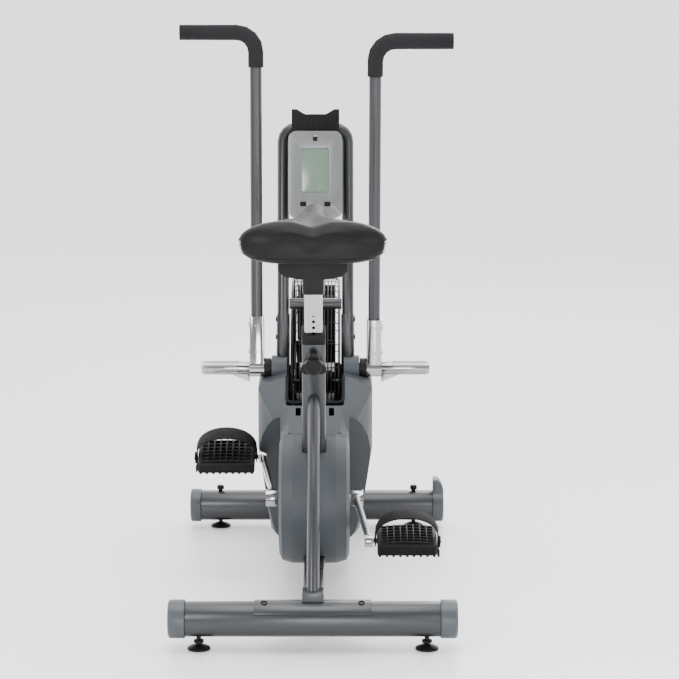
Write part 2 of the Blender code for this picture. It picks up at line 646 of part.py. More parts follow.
def fan():
    """The wheel: a hub and axle, a centre disc and blades around it."""
    hub_half = FAN_HALF - 0.006
    axle_end = SIDE_PLATE_IN + SIDE_PLATE_THICK
    shape = [(0, -axle_end), (AXLE_R, -axle_end), (AXLE_R, -hub_half), (0.032, -hub_half)]
    shape += [(0.032, -0.003), (FAN_R - 0.09, -0.003), (FAN_R - 0.09, 0.003), (0.032, 0.003)]
    shape += [(0.032, hub_half), (AXLE_R, hub_half), (AXLE_R, axle_end), (0, axle_end)]
    wheel = put("fan_wheel", turned(shape, FAN_AXIS, 20), "black_steel", FAN_AXIS.translation)
    blades = 10
    for i in range(blades):
        frame = FAN_AXIS @ Matrix.Rotation(2 * math.pi * i / blades, 4, "Z")
        blade = box((FAN_R - 0.12, -0.0015, -FAN_HALF), (FAN_R, 0.0015, FAN_HALF), frame)
        join(wheel, blade)


def fan_pulley():
    low, high = BELT_IN - 0.0006, BELT_OUT + 0.0004
    shape = sleeve(AXLE_R + GAP, FAN_PULLEY_R, low, high, FAN_AXIS, 16)
    put("fan_pulley", shape, "aluminium", FAN_AXIS.translation)


def drive_belt():
    """A flat belt around both pulleys, along their outer tangents."""
    crank_centre, fan_centre = Vector((CRANK_Y, CRANK_Z)), Vector((FAN_Y, FAN_Z))
    line = fan_centre - crank_centre
    heading = math.degrees(math.atan2(line.y, line.x))
    swing = math.degrees(math.acos((CRANK_PULLEY_R - FAN_PULLEY_R) / line.length))

    def loop_at(extra):
        wide = arc(crank_centre, CRANK_PULLEY_R + extra, heading + swing, heading + 360 - swing, 20)
        tight = arc(fan_centre, FAN_PULLEY_R + extra, heading - swing, heading + swing, 6)
        return wide + tight

    clear = 0.0008
    inner, outer = loop_at(clear), loop_at(clear + BELT_THICK)
    put("drive_belt", hollow_prism(outer, inner, BELT_IN, BELT_OUT, ALONG_X), "rubber")


def ring_bar(radius, x, sides=24):
    """One ring of the cage, square in section."""
    half = WIRE / 2
    profile = [(radius - half, x - half), (radius + half, x - half), (radius + half, x + half)]
    profile += [(radius - half, x + half)]
    return turned(profile, FAN_AXIS, sides, loop=True)


def fan_cage(side):
    """Half of the wire cage: rings on its side and rim, tied by bent radial wires."""
    x_side = CAGE_HALF - WIRE / 2
    rim = CAGE_R - WIRE / 2
    hub = [(0.050, side * (x_side - 0.0015)), (0.050, side * (x_side + 0.0015))]
    hub += [(AXLE_R + 0.003, side * (x_side + 0.0015)), (AXLE_R + 0.003, side * (x_side - 0.0015))]
    cage = put(f"fan_cage_{name_of(side)}", turned(hub, FAN_AXIS, 16, loop=True), "black_steel")
    rings = [(0.150, x_side), (rim - 0.010, x_side - 0.003), (rim, WIRE / 2 + GAP)]
    for radius, x in rings:
        join(cage, ring_bar(radius, side * x))
    spokes = 8
    half = WIRE / 2 - 0.0004
    for i in range(spokes):
        frame = FAN_AXIS @ Matrix.Rotation(2 * math.pi * (i + 0.5) / spokes, 4, "Z")
        outline = [(0.045, x_side + half), (rim - 0.010, x_side + half), (rim + half, x_side - 0.012)]
        outline += [(rim + half, 2 * GAP), (rim - half, 2 * GAP), (rim - half, x_side - 0.013)]
        outline += [(rim - 0.011, x_side - half), (0.045, x_side - half)]
        points = [(radius, side * x) for radius, x in outline]
        turned_frame = frame @ turn_x(math.radians(90))
        join(cage, prism(points, -half, half, turned_frame))


def fan_fork():
    """Two side plates on a base plate. They carry the fan's axle and the uprights."""
    low, floor = BEAM_TOP + GAP, 0.006
    foot_high = (UPRIGHT_LOW * math.cos(MAST_LEAN)) + PIVOT_Z - GAP - 0.004
    outer_x = SIDE_PLATE_IN + SIDE_PLATE_THICK
    fork = put("fan_fork", box((-outer_x, 0.100, low), (outer_x, 0.235, low + floor)), "frame_grey")
    outline = [(0.100, low), (0.235, low), (0.335, 0.390), (0.325, 0.418), (0.290, 0.425)]
    outline += [(0.105, foot_high), (0.066, foot_high), (0.066, foot_high - 0.020), (0.150, 0.392)]
    outline += [(0.160, 0.300)]
    for side in (-1, 1):
        join(fork, prism(outline, *side_span(side, SIDE_PLATE_IN, outer_x), ALONG_X))
        cut(fork, rod(AXLE_R + RUNNING, *side_span(side, 0.07, 0.1), FAN_AXIS))


# --- uprights, mast and swing arms ---------------------------------------------------------------------


def upright(side):
    """A sleeve that takes the mast's leg, with the stub that the swing arm turns on."""
    frame = MAST_FRAME @ place(side * MAST_X, 0, 0)
    bore = MAST_R + GAP
    profile = [(0, UPRIGHT_LOW), (UPRIGHT_R, UPRIGHT_LOW), (UPRIGHT_R, UPRIGHT_TOP), (bore, UPRIGHT_TOP)]
    profile += [(bore, MAST_LOW - GAP), (0, MAST_LOW - GAP)]
    sleeve_obj = put(f"upright_{name_of(side)}", turned(profile, frame, 16), "frame_grey")
    join(sleeve_obj, rod(PIVOT_R, *side_span(side, MAST_X, 0.150), PIVOT_AXIS, 16))


def mast():
    """A U of tube between the uprights, and the crossbar below it."""
    corner = MAST_CORNER
    right = [(MAST_X, MAST_LOW), (MAST_X, 0.32)]
    right += arc((MAST_X - corner, MAST_TOP - corner), corner, 0, 90, 4)
    outline = right + [(-x, z) for x, z in reversed(right)]
    path = [MAST_FRAME @ Vector((x, 0, z)) for x, z in outline]
    across = (MAST_FRAME.to_3x3() @ Vector((0, 1, 0))).normalized()
    put("mast", pipe(path, MAST_R, MAST_R - 0.002, 10, across), "frame_grey")
    half = MAST_X - MAST_R - GAP
    frame = MAST_FRAME @ place(0, 0, CROSSBAR_UP) @ ALONG_X
    put("crossbar", sleeve(CROSSBAR_R - 0.002, CROSSBAR_R, -half, half, frame, 20), "frame_grey")


def arm_frame(side):
    return place(0, PIVOT_Y, PIVOT_Z) @ turn_x(ARM_ANGLE[side])


def arm_path(side, start, end_x):
    """The arm's centre line: straight up, one bend, then out to its end."""
    centre = (ARM_X + ARM_BEND, ARM_LENGTH - ARM_BEND)
    points = [(ARM_X, start)] + arc(centre, ARM_BEND, 180, 90, 4) + [(end_x, ARM_LENGTH)]
    return [arm_frame(side) @ Vector((side * x, 0, z)) for x, z in points]


def swing_arm(side):
    name = name_of(side)
    frame = arm_frame(side)
    across = (frame.to_3x3() @ Vector((0, 1, 0))).normalized()
    pivot = frame.translation
    path = arm_path(side, 0.030, ARM_END - 0.006)
    put(f"arm_tube_{name}", pipe(path, ARM_R, ARM_R - 0.002, 10, across), "frame_grey", pivot)

    outside = path_rings(arm_path(side, GRIP_LOW, ARM_END), GRIP_R, 10, across)
    inside = path_rings(arm_path(side, GRIP_LOW, ARM_END - 0.005), ARM_R + 3 * GAP, 10, across)
    put(f"grip_{name}", loft(inside[::-1] + outside), "foam", pivot)

    bracket = arm_bracket(side, frame, name)
    cut(bracket, rod(ARM_R + GAP, 0.029, 0.2, frame @ place(side * ARM_X, 0, 0), 16))
    cut(bracket, rod(PIVOT_R + RUNNING, *side_span(side, 0.08, 0.151), PIVOT_AXIS, 16))

    low, high = side_span(side, ARM_X + SOCKET_HALF + GAP, PEG_END)
    peg = put(f"foot_peg_{name}", rod(PEG_R, low, high, PIVOT_AXIS), "chrome", pivot)
    inner, end = side * (ARM_X + SOCKET_HALF + GAP), side * (GUSSET_END + 0.03)
    gusset = [(inner, 0), (end, 0), (end, -0.012), (inner, -GUSSET_DROP)]
    join(peg, prism(gusset, -0.002, 0.002, place(0, PIVOT_Y, PIVOT_Z) @ FACING))


def arm_bracket(side, frame, name):
    """Socket for the arm, hub, round cover, and the lever inside the casing with its pin."""
    section = rounded(SOCKET_HALF, SOCKET_HALF, 0.005)
    socket = prism(section, -0.010, SOCKET_TOP, frame @ place(side * ARM_X, 0, 0))
    bracket = put(f"arm_bracket_{name}", socket, "chrome", frame.translation)
    hub_low, hub_high = side_span(side, ARM_X - SOCKET_HALF, ARM_X + SOCKET_HALF)
    join(bracket, rod(0.0215, hub_low, hub_high, PIVOT_AXIS))
    cover_low, cover_high = side_span(side, HUMP_END + 0.001, ARM_X - SOCKET_HALF + 0.002)
    join(bracket, rod(PIVOT_COVER_R, cover_low, cover_high, PIVOT_AXIS))
    join(bracket, rod(0.0125, *side_span(side, LEVER_IN, ARM_X - SOCKET_HALF + 0.001), PIVOT_AXIS))
    pin = lever_pin(side)
    middle = Vector((0, PIVOT_Y, PIVOT_Z))
    down = (pin - middle).normalized()
    wide = down.cross(Vector((1, 0, 0)))
    ends = [(middle + wide * 0.0105), (middle - wide * 0.0105)]
    ends += [(pin - wide * 0.009 + down * 0.006), (pin + wide * 0.009 + down * 0.006)]
    low, high = side_span(side, LEVER_IN, LEVER_IN + LEVER_THICK)
    join(bracket, prism([(p.y, p.z) for p in ends], low, high, ALONG_X))
    pin_frame = place(0, pin.y, pin.z) @ ALONG_X
    join(bracket, rod(0.005, *side_span(side, ROD_IN + GAP, LEVER_IN + 0.002), pin_frame, 16))
    return bracket


def lever_pin(side):
    """The lever hangs straight down when the arm is at the middle of its swing."""
    middle = (ARM_ANGLE[-1] + ARM_ANGLE[1]) / 2
    lean = ARM_ANGLE[side] - middle
    return Vector(
        (0, PIVOT_Y + LEVER_LENGTH * math.sin(lean), PIVOT_Z - LEVER_LENGTH * math.cos(lean))
    )


def link_rod(side):
    """From the lever's pin to a ring beside the eccentric."""
    pin, centre = lever_pin(side), eccentric_centre(side)
    low, high = side_span(side, ROD_IN, ROD_OUT)
    ring = RING_R + RING_WALL
    along = (pin - centre).normalized()
    wide = along.cross(Vector((1, 0, 0))) * 0.007
    start, end = centre + along * (RING_R + 0.002), pin
    corners = [start + wide, end + wide, end - wide, start - wide]
    ring_frame = place(0, centre.y, centre.z) @ ALONG_X
    link = put(f"link_rod_{name_of(side)}", sleeve(RING_R, ring, low, high, ring_frame), "black_steel", pin)
    join(link, prism([(p.y, p.z) for p in corners], low, high, ALONG_X))
    pin_frame = place(0, pin.y, pin.z) @ ALONG_X
    join(link, rod(0.011, low, high, pin_frame))
    cut(link, rod(0.005 + RUNNING, low - 0.01, high + 0.01, pin_frame, 16))


# --- casing --------------------------------------------------------------------------------------------


def casing_section(side, y, half, top, inset):
    """Half of the casing's section, from its underside over the shoulder to the middle."""
    nose = FAN_Z - math.sqrt(max(0.0, NOSE_R**2 - (y - FAN_Y) ** 2))
    belly = BELLY_Z - 0.012 * min(1, max(0, 1 - (y + 0.15) / 0.2))
    low = max(BELLY_Z, nose) if y > FAN_Y else belly
    half, top, low = half - inset, top - inset, low + inset
    foot, tall = 0.78 * half, top - low
    inner = -0.020 if inset else -0.006
    round_low, drop = min(0.012, 0.12 * tall), min(SHOULDER_DROP, 0.25 * tall)
    shoulder = min(OPENING_HALF - 0.007, half - 0.012)
    points = [(inner, low), (foot - 0.012, low), (foot, low + round_low), (half, low + 0.55 * tall)]
    points += [(half, top - 1.4 * drop), (half - 0.005, top - drop), (shoulder, top), (inner, top)]
    return [Vector((side * x, y, z)) for x, z in points]


def casing_body(side, inset):
    stations = list(STATIONS)
    if inset:
        y, half, top = stations[-1]
        stations[-1] = (y - inset, half, top)
    return loft([casing_section(side, y, half, top, inset) for y, half, top in stations])


def drum(side, inset):
    inner = -0.024 if inset else -0.010
    radius, half = DRUM_R - inset, DRUM_HALF - inset
    profile = [(0, inner), (radius, inner), (radius, DRUM_FLAT), (radius - 0.007, half - 0.007)]
    profile += [(radius - 0.020, half), (0, half)]
    return turned([(r, side * x) for r, x in profile], CRANK_AXIS, 32)


def fan_opening():
    """The notch and slot that the fan stands in, as a solid that cuts."""
    outline = [(-0.075, OPENING_Z), (0.030, OPENING_Z), (0.030, 0.300), (0.572, 0.300)]
    outline += [(0.572, 0.700), (-0.075, 0.700)]
    return prism(outline, -OPENING_HALF, OPENING_HALF, ALONG_X)


def casing(side):
    name = name_of(side)
    shell = put(f"shroud_{name}", casing_body(side, 0), "casing_grey")
    cut(shell, rod(SWEEP_R, *side_span(side, DRUM_HALF + 0.0005, 0.3), CRANK_AXIS, 32))
    join(shell, drum(side, 0))
    join(shell, rod(HUMP_R, *side_span(side, OPENING_HALF - 0.002, HUMP_END), PIVOT_AXIS, 16))

    hollow = helper(shell, casing_body(side, WALL))
    inner_wall = DRUM_HALF + 0.0005 - WALL
    cut(hollow, rod(SWEEP_R + WALL, *side_span(side, inner_wall, 0.3), CRANK_AXIS, 32))
    boolean(shell, hollow, "DIFFERENCE")
    cut(shell, drum(side, WALL))
    cut(shell, rod(HUMP_R - WALL, *side_span(side, 0.05, HUMP_END - WALL), PIVOT_AXIS, 16))
    cut(shell, rod(0.0145, *side_span(side, 0.09, 0.12), PIVOT_AXIS))
    cut(shell, rod(PIVOT_COVER_R + 0.001, *side_span(side, HUMP_END, 0.16), PIVOT_AXIS))
    cut(shell, fan_opening())
    cut(shell, rod(UPRIGHT_R + 0.001, -0.2, 0.3, MAST_FRAME @ place(side * MAST_X, 0, 0)))
    room = 0.001
    half_x, half_y = SEAT_TUBE_WIDTH / 2 + room, SEAT_TUBE_DEPTH / 2 + room
    cut(shell, box((-half_x, -half_y, -0.40), (half_x, half_y, -0.10), SEAT_FRAME))
    beam = BEAM_WIDTH / 2 + room
    cut(shell, box((-beam, -0.5, 0.0), (beam, FRONT_Y + 0.013, BEAM_TOP + room)))
    cut(shell, rod(COVER_R, *side_span(side, 0.06, 0.1), CRANK_AXIS, 28))
    cut(shell, rod(1.2, *side_span(side, -0.05, GAP), CRANK_AXIS, 12))

    edge, low, high = COVER_R - GAP, DRUM_HALF - WALL, DRUM_HALF + 0.001
    profile = [(SPINDLE_R + 0.004, low), (edge, low), (edge, high - 0.001), (edge - 0.002, high)]
    profile += [(SPINDLE_R + 0.004, high)]
    cover = turned([(r, side * x) for r, x in profile], CRANK_AXIS, 28, loop=True)
    put(f"drum_cover_{name}", cover, "casing_grey")


def fan_trim():
    """The rubber edging of the notch, which follows the casing's slope on both sides."""
    outer, thick, rise = OPENING_HALF - GAP, 0.003, 0.006
    slope = [(-0.052, OPENING_Z + GAP + 0.006), (-0.015, 0.452), (0.018, 0.473)]
    rings = []
    for sign in (-1, 1):
        stations = slope if sign > 0 else slope[::-1]
        for y, z in stations:
            x = sign * outer
            rings.append(
                [
                    Vector((x, y, z - rise)),
                    Vector((x, y, z + rise)),
                    Vector((x - sign * thick, y, z + rise)),
                    Vector((x - sign * thick, y, z - rise)),
                ]
            )
    left, right = rings[:3], rings[3:]
    trim = put("fan_trim", loft(left), "rubber")
    join(trim, loft(right))
    y, z = slope[0]
    join(trim, box((-outer, y - 0.004, z - rise), (outer, y + 0.002, z - rise + thick)))


# --- console ---------------------------------------------------------------------------------------------


def console():
    """Housing, face, window, buttons and reading rack on the rider's side of the mast."""
    facing = MAST_FRAME @ FACING
    middle, half_z = (FACE_LOW + FACE_TOP) / 2, (FACE_TOP - FACE_LOW) / 2
    back = MAST_R + 2 * GAP
    front = back + HOUSING_DEPTH
    outline = rounded(FACE_HALF - 0.002, half_z - 0.002, 0.016, 4, (0, middle))
    housing = put("console_housing", prism(outline, back, front, facing), "black_plastic")
    for side in (-1, 1):
        well = rounded(BUTTON_R + 0.0006, BUTTON_R * 0.7 + 0.0006, 0.003, 3, (side * BUTTON_X, BUTTON_UP))
        cut(housing, prism(well, front - 0.004, front + 0.002, facing))
    outline = rounded(FACE_HALF, half_z, 0.018, 4, (0, middle))
    face = put("console_face", prism(outline, front + GAP, front + GAP + FACE_THICK, facing), "silver")
    centre, tall = (WINDOW_LOW + WINDOW_TOP) / 2, (WINDOW_TOP - WINDOW_LOW) / 2
    hole = rounded(WINDOW_HALF, tall, 0.003, 2, (0, centre))
    cut(face, prism(hole, front - 0.01, front + 0.02, facing))
    glass = rounded(WINDOW_HALF - GAP, tall - GAP, 0.003, 2, (0, centre))
    put("console_window", prism(glass, front + GAP, front + 0.003, facing), "lcd")
    for side in (-1, 1):
        spot = (side * BUTTON_X, BUTTON_UP)
        hole = rounded(BUTTON_R + 0.0006, BUTTON_R * 0.7 + 0.0006, 0.003, 3, spot)
        cut(face, prism(hole, front - 0.01, front + 0.02, facing))
        oval = rounded(BUTTON_R, BUTTON_R * 0.7, 0.003, 3, spot)
        top = front + GAP + FACE_THICK + 0.002
        origin = facing @ Vector((side * BUTTON_X, BUTTON_UP, top))
        put(f"button_{name_of(side)}", prism(oval, front - 0.002, top, facing), "black_plastic", origin)
    low = FACE_TOP + 0.002
    outline = [(-RACK_HALF, low), (RACK_HALF, low), (RACK_HALF, RACK_TOP), (RACK_HALF - 0.012, RACK_TOP)]
    outline += [(0.025, RACK_TOP - 0.012), (-0.025, RACK_TOP - 0.012), (-RACK_HALF + 0.012, RACK_TOP)]
    outline += [(-RACK_HALF, RACK_TOP)]
    put("reading_rack", prism(outline, back, back + RACK_THICK, facing), "black_plastic")


def build():
    for obj in list(bpy.data.objects):
        bpy.data.objects.remove(obj, do_unlink=True)
    stabilizer("stabilizer_rear", REAR_Y, REAR_Z, REAR_LENGTH, REAR_CAP)
    stabilizer("stabilizer_front", FRONT_Y, FRONT_Z, FRONT_LENGTH, FRONT_CAP)
    base()
    rear_strut()
    seat_tube()
    seat_post()
    pop_pin()
    saddle()
    bottom_bracket()
    spindle()
    crank_pulley()
    fan()
    fan_pulley()
    drive_belt()
    fan_fork()
    fan_trim()
    mast()
    console()
    for side in (-1, 1):
        pedal(side, crank(side))
        fan_cage(side)
        upright(side)
        swing_arm(side)
        link_rod(side)
        casing(side)


build()
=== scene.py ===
import json
import math

import bmesh
import bpy
from mathutils import Matrix, Vector

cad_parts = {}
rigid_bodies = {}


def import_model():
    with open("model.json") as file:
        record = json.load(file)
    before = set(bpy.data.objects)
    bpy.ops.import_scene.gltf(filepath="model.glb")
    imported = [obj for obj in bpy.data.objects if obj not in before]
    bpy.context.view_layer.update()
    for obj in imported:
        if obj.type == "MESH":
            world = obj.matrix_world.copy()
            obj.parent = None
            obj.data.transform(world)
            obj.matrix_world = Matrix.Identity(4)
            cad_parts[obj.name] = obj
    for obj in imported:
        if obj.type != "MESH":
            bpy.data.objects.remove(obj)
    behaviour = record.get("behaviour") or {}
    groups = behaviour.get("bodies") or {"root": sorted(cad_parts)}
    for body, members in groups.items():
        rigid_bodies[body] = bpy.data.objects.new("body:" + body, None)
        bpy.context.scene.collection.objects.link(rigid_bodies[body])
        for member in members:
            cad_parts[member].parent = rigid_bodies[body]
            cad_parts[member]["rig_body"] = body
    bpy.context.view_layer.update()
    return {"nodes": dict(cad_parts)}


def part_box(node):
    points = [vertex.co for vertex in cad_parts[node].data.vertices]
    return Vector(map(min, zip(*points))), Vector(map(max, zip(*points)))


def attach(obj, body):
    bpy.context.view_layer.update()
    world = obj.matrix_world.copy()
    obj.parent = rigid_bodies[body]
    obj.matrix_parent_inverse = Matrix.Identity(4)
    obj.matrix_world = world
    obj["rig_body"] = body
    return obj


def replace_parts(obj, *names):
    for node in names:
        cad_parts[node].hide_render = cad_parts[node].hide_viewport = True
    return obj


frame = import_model()
bpy.ops.object.select_all(action="DESELECT")

# Camera: a long lens straight behind the bike, a little above its top and tipped
# down to the middle of it.
def added(name, data):
    """A new object in the scene that shows this mesh, curve, lamp or camera."""
    piece = bpy.data.objects.new(name, data)
    bpy.context.scene.collection.objects.link(piece)
    return piece


tip_down = 10.7
eye = bpy.data.cameras.new("eye")
eye.lens = 133.2
eye.sensor_width = 36
eye.clip_end = 120
camera = added("eye", eye)
camera.location = (0.057, -5.753, 1.652)
camera.rotation_euler = (math.radians(90 - tip_down), 0, 0)
bpy.context.scene.camera = camera

# Studio: a pale floor, a broad light overhead, one on each side, a low one near
# the camera and one past the bike's nose, under a sky that is brighter along +Y.
# None of it is part of the bike.
def soft_light(name, size, power, place, target):
    lamp = bpy.data.lights.new(name, "AREA")
    lamp.size = size
    lamp.energy = power
    holder = added(name, lamp)
    holder.location = place
    aim = Vector(target) - Vector(place)
    holder.rotation_euler = aim.to_track_quat("-Z", "Y").to_euler()


soft_light("overhead", 3.0, 150, (0.0, -0.6, 4.2), (0, 0, 0.5))
soft_light("left_key", 1.6, 110, (-2.6, -4.0, 2.2), (0, 0, 0.6))
soft_light("right_fill", 1.6, 70, (2.8, -3.6, 1.6), (0, 0, 0.6))
soft_light("low_fill", 1.2, 55, (0.2, -4.6, 0.5), (0, 0, 0.35))
soft_light("front_rim", 1.8, 50, (1.0, 3.6, 2.6), (0, 0, 0.7))
world = bpy.data.worlds.new("studio")
world.use_nodes = True
sky = world.node_tree.nodes
sky_way = sky.new("ShaderNodeTexCoord")
sky_split = sky.new("ShaderNodeSeparateXYZ")
glow = sky.new("ShaderNodeMapRange")
for socket, value in (("From Min", -0.5), ("From Max", 0.5), ("To Min", 0.6), ("To Max", 3.0)):
    glow.inputs[socket].default_value = value
world.node_tree.links.new(sky_way.outputs["Generated"], sky_split.inputs[0])
world.node_tree.links.new(sky_split.outputs["Y"], glow.inputs["Value"])
world.node_tree.links.new(glow.outputs[0], sky["Background"].inputs["Strength"])
sky["Background"].inputs["Color"].default_value = (1, 1, 1, 1)
bpy.context.scene.world = world


class Wire:
    """A shader socket that takes Python arithmetic and adds the Math nodes for it."""

    def __init__(self, tree, socket):
        self.tree = tree
        self.socket = socket

    def maths(self, operation, first, second):
        node = self.tree.nodes.new("ShaderNodeMath")
        node.operation = operation
        for slot, value in zip(node.inputs, (first, second)):
            feed(self.tree, slot, value)
        return Wire(self.tree, node.outputs[0])

    def __add__(self, other):
        return self.maths("ADD", self, other)

    def __radd__(self, other):
        return self.maths("ADD", other, self)

    def __rmul__(self, other):
        return self.maths("MULTIPLY", other, self)


def feed(tree, slot, value):
    """Links a wire into a shader input, or sets the input to a plain value."""
    if isinstance(value, Wire):
        tree.links.new(value.socket, slot)
    else:
        slot.default_value = value


class Finish:
    """A material on one Principled shader, and the one way that nodes are added to it."""

    def __init__(self, name, colour, roughness, metallic=0.0, coat=0.0, specular=0.5):
        self.material = bpy.data.materials.new(name)
        self.material.use_nodes = True
        self.tree = self.material.node_tree
        self.shader = self.tree.nodes["Principled BSDF"]
        self.set("Base Color", (*colour, 1))
        self.set("Roughness", roughness)
        self.set("Metallic", metallic)
        self.set("Coat Weight", coat)
        self.set("Coat Roughness", 0.18)
        self.set("Specular IOR Level", specular)
        self.place = self.node("ShaderNodeTexCoord", "Object")

    def set(self, socket, value):
        feed(self.tree, self.shader.inputs[socket], value)

    def node(self, kind, output=0, **values):
        made = self.tree.nodes.new(kind)
        for key, value in values.items():
            feed(self.tree, made.inputs[key.replace("_", " ")], value)
        return Wire(self.tree, made.outputs[output])

    def noise(self, scale, detail=2.0):
        return self.node("ShaderNodeTexNoise", Vector=self.place, Scale=scale, Detail=detail)

    def cells(self, scale):
        return self.node("ShaderNodeTexVoronoi", "Distance", Vector=self.place, Scale=scale)

    def blend(self, factor, first, second):
        made = self.tree.nodes.new("ShaderNodeMix")
        made.data_type = "RGBA"
        feed(self.tree, made.inputs[0], factor)
        for slot, value in ((6, first), (7, second)):
            feed(self.tree, made.inputs[slot], value if isinstance(value, Wire) else (*value, 1))
        return Wire(self.tree, made.outputs[2])

    def ramp(self, value, low, high):
        return self.node("ShaderNodeMapRange", Value=value, From_Min=low, From_Max=high)

    def relief(self, height, depth):
        bump = self.tree.nodes.new("ShaderNodeBump")
        bump.inputs["Distance"].default_value = depth
        feed(self.tree, bump.inputs["Height"], height)
        self.set("Normal", Wire(self.tree, bump.outputs[0]))


floor_paint = Finish("studio_floor", (0.93, 0.93, 0.935), 0.34)
floor_paint.set("Roughness", 0.30 + 0.10 * floor_paint.noise(3))
bpy.ops.mesh.primitive_grid_add(x_subdivisions=2, y_subdivisions=2, size=70)
floor = bpy.context.object
floor.name = "studio_floor"
floor.data.materials.append(floor_paint.material)


# Stabilizers, base beam, strut and uprights: welded steel tube, powder coated
# in a satin dark grey that has a fine metallic flake in it.
def choose(test):
    """Selects the faces whose centre and normal pass the test, in edit mode."""
    shape = bmesh.from_edit_mesh(bpy.context.object.data)
    shape.select_mode = {"FACE"}
    for face in shape.faces:
        face.select_set(bool(test(face.calc_center_median(), face.normal)))
    shape.select_flush_mode()
    bmesh.update_edit_mesh(bpy.context.object.data)


def alone(piece):
    """Makes this the only selected and the active object."""
    bpy.ops.object.select_all(action="DESELECT")
    bpy.context.view_layer.objects.active = piece
    piece.select_set(True)
    return piece


def use(piece, kind, **settings):
    """Adds a modifier with these settings and applies it."""
    alone(piece)
    modifier = piece.modifiers.new(kind.lower(), kind)
    for key, value in settings.items():
        setattr(modifier, key, value)
    bpy.ops.object.modifier_apply(modifier=modifier.name)


def smoothed(piece, angle):
    """Shades the piece smooth, apart from edges sharper than the angle in degrees."""
    alone(piece)
    bpy.ops.object.shade_smooth_by_angle(angle=math.radians(angle))


def fixed(piece, name, body, finish):
    """Gives a finished piece its name, finish and body, with its place in its mesh."""
    alone(piece)
    bpy.ops.object.transform_apply(location=True, rotation=True, scale=True)
    piece.name = name
    piece.data.name = name
    piece.data.materials.clear()
    piece.data.materials.append(finish.material)
    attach(piece, body)
    return piece


merge_gap = 0.00002


def dressed(node, finish, edge=0.0, steps=2, angle=35, dissolve=1.0):
    """A copy of a CAD node with its flats made whole and its edges rounded, in its place."""
    source = frame["nodes"][node]
    piece = source.copy()
    piece.data = source.data.copy()
    for key in list(piece.keys()):
        del piece[key]
    piece.parent = None
    bpy.context.scene.collection.objects.link(piece)
    alone(piece)
    bpy.ops.object.mode_set(mode="EDIT")
    bpy.ops.mesh.select_all(action="SELECT")
    bpy.ops.mesh.remove_doubles(threshold=merge_gap)
    if dissolve:
        bpy.ops.mesh.dissolve_limited(angle_limit=math.radians(dissolve))
    bpy.ops.object.mode_set(mode="OBJECT")
    if edge:
        use(piece, "BEVEL", width=edge, segments=steps, limit_method="ANGLE",
            angle_limit=math.radians(angle), use_clamp_overlap=True, miter_outer="MITER_ARC")
    smoothed(piece, angle + 2)
    fixed(piece, node + "_finished", source["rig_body"], finish)
    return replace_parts(piece, node)


powder = Finish("grey_powder_coat", (0.075, 0.078, 0.084), 0.4, metallic=0.75, coat=0.12)
flake = powder.ramp(powder.noise(2600, 1), 0.45, 0.75)
cloud = powder.noise(9, 3)
powder.set("Base Color", powder.blend(flake, (0.040, 0.042, 0.045), (0.085, 0.088, 0.093)))
powder.set("Roughness", 0.27 + 0.12 * cloud + 0.06 * flake)
powder.relief(powder.noise(520, 2) + 0.3 * powder.noise(60, 2), 0.00012)
for tube in ("stabilizer_rear", "stabilizer_front", "rear_bracket", "base_beam", "rear_strut",
             "seat_tube", "bb_shell", "fan_fork", "crossbar"):
    dressed(tube, powder, 0.0008)
for tube in ("upright_left", "upright_right", "mast", "arm_tube_left", "arm_tube_right"):
    dressed(tube, powder, dissolve=0)

# End caps: blow-moulded blue-grey plastic pushed over the stabilizers' ends,
# with a fine even grain.
cap_grain = Finish("blue_grey_cap", (0.065, 0.080, 0.090), 0.46, coat=0.1)
cap_mottle = cap_grain.noise(14, 3)
cap_grain.set(
    "Base Color", cap_grain.blend(cap_mottle, (0.034, 0.042, 0.048), (0.046, 0.056, 0.063)))
cap_grain.set("Roughness", 0.40 + 0.12 * cap_grain.noise(25, 2))
cap_grain.relief(cap_grain.noise(1500, 2), 0.00006)
for cap in ("cap_rear_left", "cap_rear_right", "cap_front_left", "cap_front_right"):
    dressed(cap, cap_grain, 0.0015, 3)

# Casing: two thick moulded halves screwed together around the drive, in
# blue-grey plastic with an eroded grain that goes softer on the curves.
casing_grain = Finish("blue_grey_casing", (0.080, 0.095, 0.110), 0.5, specular=0.35)
mottle = casing_grain.noise(6, 4)
casing_grain.set(
    "Base Color", casing_grain.blend(mottle, (0.033, 0.038, 0.044), (0.045, 0.052, 0.059)))
casing_grain.set("Roughness", 0.44 + 0.14 * casing_grain.noise(18, 3))
casing_grain.relief(casing_grain.noise(1300, 3) + 0.4 * casing_grain.cells(700), 0.00009)
for half in ("shroud_left", "shroud_right"):
    shell = dressed(half, casing_grain, 0.0018, 3, angle=24, dissolve=0.4)
    side = -1 if half == "shroud_left" else 1
    bpy.ops.mesh.primitive_cube_add(size=1, location=(side * 0.0385, -0.078, 0.412))
    vent = bpy.context.object
    vent.scale = (0.012, 0.026, 0.030)
    vent.rotation_euler = (math.radians(33), 0, 0)
    bpy.ops.object.transform_apply(location=True, rotation=True, scale=True)
    use(vent, "BEVEL", width=0.003, segments=3, limit_method="ANGLE")
    use(shell, "BOOLEAN", object=vent, operation="DIFFERENCE", solver="EXACT")
    bpy.data.objects.remove(vent)
for cover in ("drum_cover_left", "drum_cover_right"):
    dressed(cover, casing_grain, 0.0010)

